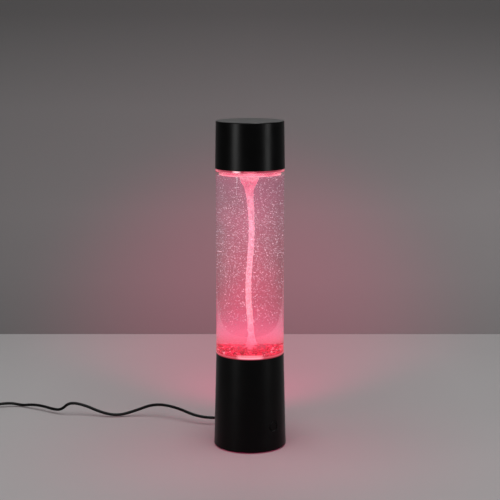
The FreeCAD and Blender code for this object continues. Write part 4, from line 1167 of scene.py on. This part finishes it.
def makeFoam(sizes, water):
    bm = bmesh.new()
    centre, radius = coreCentre(water, sizes["top"]), foamRadius(sizes, water, sizes["top"])
    start = bmesh.ops.create_circle(bm, segments=sizes["sides"], radius=radius * mm)["verts"]
    bmesh.ops.translate(bm, verts=start, vec=centre)
    rim = bm.edges[:]
    for index in range(1, sizes["rings"] + 1):
        height = sizes["top"] - (sizes["top"] - sizes["foot"]) * index / sizes["rings"]
        nextCentre, nextRadius = coreCentre(water, height), foamRadius(sizes, water, height)
        _, rim = extrudeRing(bm, rim, nextCentre, nextRadius, centre, radius)
        centre, radius = nextCentre, nextRadius
    for vertex in bm.verts:
        # the froth stands off the core in lumps that wind round it
        height = vertex.co.z / mm
        turned = Matrix.Rotation(height * sizes["wind"], 3, "Z") @ vertex.co
        lump = noise.fractal(turned * sizes["lumpScale"], 1.0, 2.0, 3, noise_basis="PERLIN_ORIGINAL")
        away = Vector((vertex.co.x, vertex.co.y, 0)) - Vector((*coreCentre(water, height).xy, 0))
        vertex.co += away.normalized() * max(lump, sizes["deepest"]) * sizes["rough"] * mm
    bmesh.ops.recalc_face_normals(bm, faces=bm.faces)
    bmesh.ops.solidify(bm, geom=bm.faces[:], thickness=-sizes["thick"] * mm)
    return finishPiece(bm, "whirlFoam", whirlFoam, "water", sharp=180)


water = makeWater(waterSizes)
foam = makeFoam(foamSizes, waterSizes)

# bubbles carried round in the water, some drawn out by the flow
bubbleSizes = {
    "count": 6400,
    "low": 118,
    "high": 282.6,
    "thickest": 210,
    "evenFrom": 132,
    "unevenShare": 0.45,
    "least": 0.14,
    "most": 0.42,
    "sizeBias": 2.4,
    "reach": 31.4,
    "offCore": 1.5,
    "stretch": (1.0,) * 7 + (1.4,),
    "lean": 0.25,
    "seed": 11,
    "batch": 40,
}
# a string of bubbles hanging under the surface at the front: its top, the step to the next and their sizes
stringSizes = {
    "count": 12,
    "top": (-12.4, -28.2, 283),
    "aside": -0.05,
    "down": -1.5,
    "most": 0.62,
    "loss": 0.025,
}
# bubbles resting under the surface, most of them at the wall
restingSizes = {"count": 60, "height": 283.3, "inner": 20, "outer": 31, "least": 0.25, "most": 0.6}
# froth on the tank's floor: thickest low down, clear of the impeller and left out at the front middle, where
# the floor's painted reflection shows
frothSizes = {
    "count": 1500,
    "low": 101.5,
    "high": 103.2,
    "bias": 1.5,
    "inner": 13.8,
    "outer": 31.4,
    "least": 0.4,
    "most": 1.05,
    "clearForReflectionFront": -24,
    "clearForReflectionHalf": 13,
}


def ringPlace(rnd, least, most, height):
    # a random place at this height, between two distances from the axis
    away, angle = math.sqrt(rnd.uniform(least * least, most * most)), rnd.uniform(0, 2 * math.pi)
    return Vector((away * math.cos(angle), away * math.sin(angle), height)), angle


def waterBubbles(sizes, water, string, resting):
    rnd = random.Random(sizes["seed"])
    places = []
    while len(places) < sizes["count"]:
        height = rnd.triangular(sizes["low"], sizes["high"], sizes["thickest"])
        if rnd.random() > sizes["unevenShare"]:
            height = rnd.uniform(sizes["evenFrom"], sizes["high"])
        place, angle = ringPlace(rnd, 0, sizes["reach"], height)
        size = sizes["least"] + (sizes["most"] - sizes["least"]) * rnd.random() ** sizes["sizeBias"]
        away = (place * mm - coreCentre(water, height)).length / mm
        if away > coreRadius(water, height) + sizes["offCore"]:
            places.append((place, size, angle, rnd.choice(sizes["stretch"])))
    x, y, z = string["top"]
    for step in range(string["count"]):
        place = Vector((x + string["aside"] * step, y, z + string["down"] * step))
        places.append((place, string["most"] - string["loss"] * step, 0, 1.0))
    for _ in range(resting["count"]):
        place, angle = ringPlace(rnd, resting["inner"], resting["outer"], resting["height"])
        places.append((place, rnd.uniform(resting["least"], resting["most"]), angle, 1.0))
    return places


def footBubbles(sizes, seed):
    rnd = random.Random(seed)
    places = []
    while len(places) < sizes["count"]:
        height = sizes["low"] + (sizes["high"] - sizes["low"]) * rnd.random() ** sizes["bias"]
        place, angle = ringPlace(rnd, sizes["inner"], sizes["outer"], height)
        if place.y > sizes["clearForReflectionFront"] or abs(place.x) > sizes["clearForReflectionHalf"]:
            places.append((place, rnd.uniform(sizes["least"], sizes["most"]), angle, 1.0))
    return places


def makeBubbles(name, places, material, sizes):
    # made in small batches, because each new ball takes longer in a larger mesh
    whole = bmesh.new()
    for first in range(0, len(places), sizes["batch"]):
        batch = bmesh.new()
        for place, size, angle, stretch in places[first : first + sizes["batch"]]:
            drawn = Matrix.Diagonal((size * mm, size * mm * stretch, size * mm, 1.0))
            turned = Matrix.Rotation(angle, 4, "Z") @ Matrix.Rotation(sizes["lean"], 4, "X")
            whereTo = Matrix.Translation(place * mm) @ turned @ drawn
            bmesh.ops.create_icosphere(batch, subdivisions=1, radius=1.0, matrix=whereTo)
        part = bpy.data.meshes.new("batch")
        batch.to_mesh(part)
        batch.free()
        whole.from_mesh(part)
        bpy.data.meshes.remove(part)
    piece = placeObject(name, meshFrom(whole, name, material))
    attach(piece, "lamp")
    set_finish(piece, "water")
    return piece


inWater = waterBubbles(bubbleSizes, waterSizes, stringSizes, restingSizes)
bubbles = makeBubbles("bubbles", inWater, bubbleSkin, bubbleSizes)
froth = makeBubbles("footFroth", footBubbles(frothSizes, bubbleSizes["seed"] + 1), frothSkin, bubbleSizes)
for piece in [*tank, water, foam, bubbles, froth]:
    piece.visible_shadow = False  # the clear parts let the lamps' light through
print("water, foam and bubbles made")

# stage: pale floor with a painted shadow, and a backdrop with painted light and shade that can't be seen from
# behind
stageSizes = {"wallY": 0.5, "width": 6.0, "front": -4.0, "wallHeight": 2.6, "drop": 0.0002}
floorTone = {
    "dark": (0.275,) * 3,
    "pale": (0.30,) * 3,
    "mottle": 3.0,
    "paintedShadowHalf": 0.26,  # painted shadow of the lamp: the floor is painted darkest in front of the lamp, up to this distance to its sides
    "paintedShadowShare": 0.85,
}
wallTone = {
    "top": 0.8,
    # painted light and shade: the wall's tone by height, darker higher up
    "paintedLightByHeight": [(0.0, 0.191), (0.10, 0.211), (0.22, 0.215), (0.40, 0.176), (0.56, 0.100), (0.80, 0.079)],
    "half": 0.35,
    "paintedLightLow": [(0.0, 0.72), (0.5, 0.82), (1.0, 1.0)],  # painted light: low down the wall is painted lighter towards the right
    "paintedLightHigh": [(0.0, 0.74), (0.5, 0.82), (1.0, 0.78)],  # and high up it is painted lightest in the middle
    "change": (0.2, 0.42),
    "gain": (1.22,) * 3,
}


def makeSheet(name, width, depth, turn, centre):
    # a flat sheet of the stage, with an empty material
    bm = bmesh.new()
    bmesh.ops.create_grid(bm, x_segments=1, y_segments=1, size=0.5)
    bmesh.ops.scale(bm, verts=bm.verts, vec=(width, depth, 1))
    bmesh.ops.rotate(bm, verts=bm.verts, cent=(0, 0, 0), matrix=Matrix.Rotation(math.radians(turn), 3, "X"))
    bmesh.ops.translate(bm, verts=bm.verts, vec=centre)
    material, tree, shader, output = newMaterial(name)
    piece = placeObject(name, meshFrom(bm, name, material))
    return piece, tree, shader, output


def greys(stops):
    return [(place, (tone,) * 3) for place, tone in stops]


def makeFloor(sizes, tone):
    depth = sizes["wallY"] - sizes["front"]
    centre = (0, sizes["front"] + depth / 2, -sizes["drop"])
    piece, tree, shader, _ = makeSheet("stageFloor", sizes["width"], depth, 0, centre)
    place = addPlace(tree)
    colour = addMix(tree, addNoise(tree, place, tone["mottle"], detail=2.0), tone["dark"], tone["pale"])
    # painted shadow: the floor is painted darker near the lamp's line
    aside = addMath(tree, "ABSOLUTE", addAxes(tree, place)["X"])
    paintedShadow = addSpan(tree, aside, 0.0, tone["paintedShadowHalf"], tone["paintedShadowShare"], 1.0)
    colour = addMix(tree, 1.0, colour, paintedShadow, "MULTIPLY")
    setShader(tree, shader, Base_Color=colour, Roughness=0.8, Specular_IOR_Level=0.1)
    return piece


def makeBackdrop(sizes, tone):
    centre = (0, sizes["wallY"], sizes["wallHeight"] / 2)
    piece, tree, shader, output = makeSheet("stageWall", sizes["width"], sizes["wallHeight"], 90, centre)
    axes = addAxes(tree, addPlace(tree))
    # painted light and shade on the backdrop, by height and across
    paintedLightByHeight = addRamp(tree, addSpan(tree, axes["Z"], 0.0, tone["top"]), greys(tone["paintedLightByHeight"]))
    along = addSpan(tree, axes["X"], -tone["half"], tone["half"])
    paintedLightLow = addRamp(tree, along, greys(tone["paintedLightLow"]))
    paintedLightHigh = addRamp(tree, along, greys(tone["paintedLightHigh"]))
    paintedLightAcross = addMix(tree, addSpan(tree, axes["Z"], *tone["change"]), paintedLightLow, paintedLightHigh)
    colour = addMix(tree, 1.0, addMix(tree, 1.0, paintedLightByHeight, paintedLightAcross, "MULTIPLY"), tone["gain"], "MULTIPLY")
    setShader(tree, shader, Base_Color=colour, Roughness=0.9, Specular_IOR_Level=0.0)
    behind = addNode(tree, "ShaderNodeNewGeometry").outputs["Backfacing"]
    through = addNode(tree, "ShaderNodeBsdfTransparent")
    mixed = addNode(tree, "ShaderNodeMixShader", {0: behind, 1: shader.outputs[0], 2: through.outputs[0]})
    tree.links.new(mixed.outputs[0], output.inputs["Surface"])
    return piece


stageFloor = makeFloor(stageSizes, floorTone)
stageWall = makeBackdrop(stageSizes, wallTone)

# studio light, given as the brightness of each soft box; the strips light the black parts alone
lightSizes = {
    "overhead": {"place": (0, -0.3, 2.2), "aim": (0, 0, 0), "size": (2.2, 2.0), "brightness": 3.1},
    "front": {"place": (0.0, -1.9, 2.1), "aim": (0, 0, 0.15), "size": (1.6, 0.9), "brightness": 3.4},
}
stripSizes = {
    "back": {"place": (0.0, 0.42, 0.62), "aim": (0, 0, 0.33), "size": (0.5, 0.26), "brightness": 1.0},
    "left": {"place": (-0.98, -0.867, 0.32), "aim": (0, 0, 0.3), "size": (0.36, 0.64), "brightness": 9.0},
    "right": {"place": (1.12, -0.66, 0.32), "aim": (0, 0, 0.3), "size": (0.32, 0.64), "brightness": 7.8},
    "edge": {"place": (0.31, -0.2, 1.65), "aim": (0, 0, 0.3), "size": (0.45, 0.45), "brightness": 30.0},
}


def groupPieces(name, pieces):
    group = bpy.data.collections.new(name)
    for piece in pieces:
        group.objects.link(piece)
    return group


def addSoftBox(name, sizes):
    data = bpy.data.lights.new(name, "AREA")
    data.shape = "RECTANGLE"
    data.size, data.size_y = sizes["size"]
    data.energy = sizes["brightness"] * math.pi * data.size * data.size_y
    lamp = placeObject(name, data)
    lamp.location = sizes["place"]
    lamp.rotation_euler = (Vector(sizes["aim"]) - Vector(sizes["place"])).to_track_quat("-Z", "Y").to_euler()
    lamp.visible_camera = False
    return lamp


blackPieces = [piece for piece in scene.objects if piece.get("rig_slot") == "black_plastic"]
satinPieces = groupPieces("satinPieces", blackPieces)
for name, sizes in lightSizes.items():
    addSoftBox(name, sizes)
for name, sizes in stripSizes.items():
    addSoftBox(name, sizes).light_linking.receiver_collection = satinPieces

# pink light that the lamp throws on the floor and the backdrop; none of it falls on the lamp itself
spillSizes = {
    "tankBack": {"place": (0, 0, 0.17), "power": 6.0, "radius": 0.03, "tilt": 70, "cone": 72},
    "tankDown": {"place": (0, -0.04, 0.22), "power": 1.17, "radius": 0.03, "tilt": 0, "cone": 138},
    "tankRound": {"place": (0, 0, 0.25), "power": 0.75, "radius": 0.05, "tilt": 90, "cone": 180},
    "floorBack": {"place": (0, 0.48, 0.3), "power": 1.6, "radius": 0.02, "tilt": 0, "cone": 110},
}
spillColour = (1.0, 0.0, 0.18)
stageOnly = groupPieces("stageOnly", [stageWall, stageFloor])
floorOnly = groupPieces("floorOnly", [stageFloor])
for name, sizes in spillSizes.items():
    straightDown = sizes["tilt"] == 0
    data = bpy.data.lights.new(name, "SPOT")
    data.energy = sizes["power"]
    data.color = spillColour
    data.shadow_soft_size = sizes["radius"]
    data.spot_size = math.radians(sizes["cone"])
    data.spot_blend = 1.0
    data.use_shadow = not straightDown  # the whole tank glows, so the base hides none of it from the floor
    lamp = placeObject(name, data)
    lamp.location = sizes["place"]
    lamp.rotation_euler = (math.radians(sizes["tilt"]), 0, 0)
    lamp.visible_camera = False
    lamp.visible_glossy = False
    lamp.visible_transmission = False
    lamp.light_linking.receiver_collection = floorOnly if straightDown else stageOnly

# world: soft fill, and a plain grey where the camera, a reflection or clear glass meets it
worldLight = {"fill": 0.42, "seen": 0.085, "through": 0.19}
world = bpy.data.worlds.new("studio")
world.use_nodes = True
scene.world = world
tree = world.node_tree
for old in list(tree.nodes):
    tree.nodes.remove(old)
rays = addNode(tree, "ShaderNodeLightPath").outputs
direct = addMath(tree, "MAXIMUM", rays["Is Camera Ray"], rays["Is Glossy Ray"])
room = addMath(tree, "MULTIPLY_ADD", direct, worldLight["seen"] - worldLight["fill"], worldLight["fill"])
strength = addSpan(tree, rays["Is Transmission Ray"], 0.0, 1.0, room, worldLight["through"])
background = addNode(tree, "ShaderNodeBackground", {"Color": (1, 1, 1, 1), "Strength": strength})
addNode(tree, "ShaderNodeOutputWorld", {"Surface": background.outputs[0]})
scene.view_settings.view_transform = "Standard"
print("stage and light set")
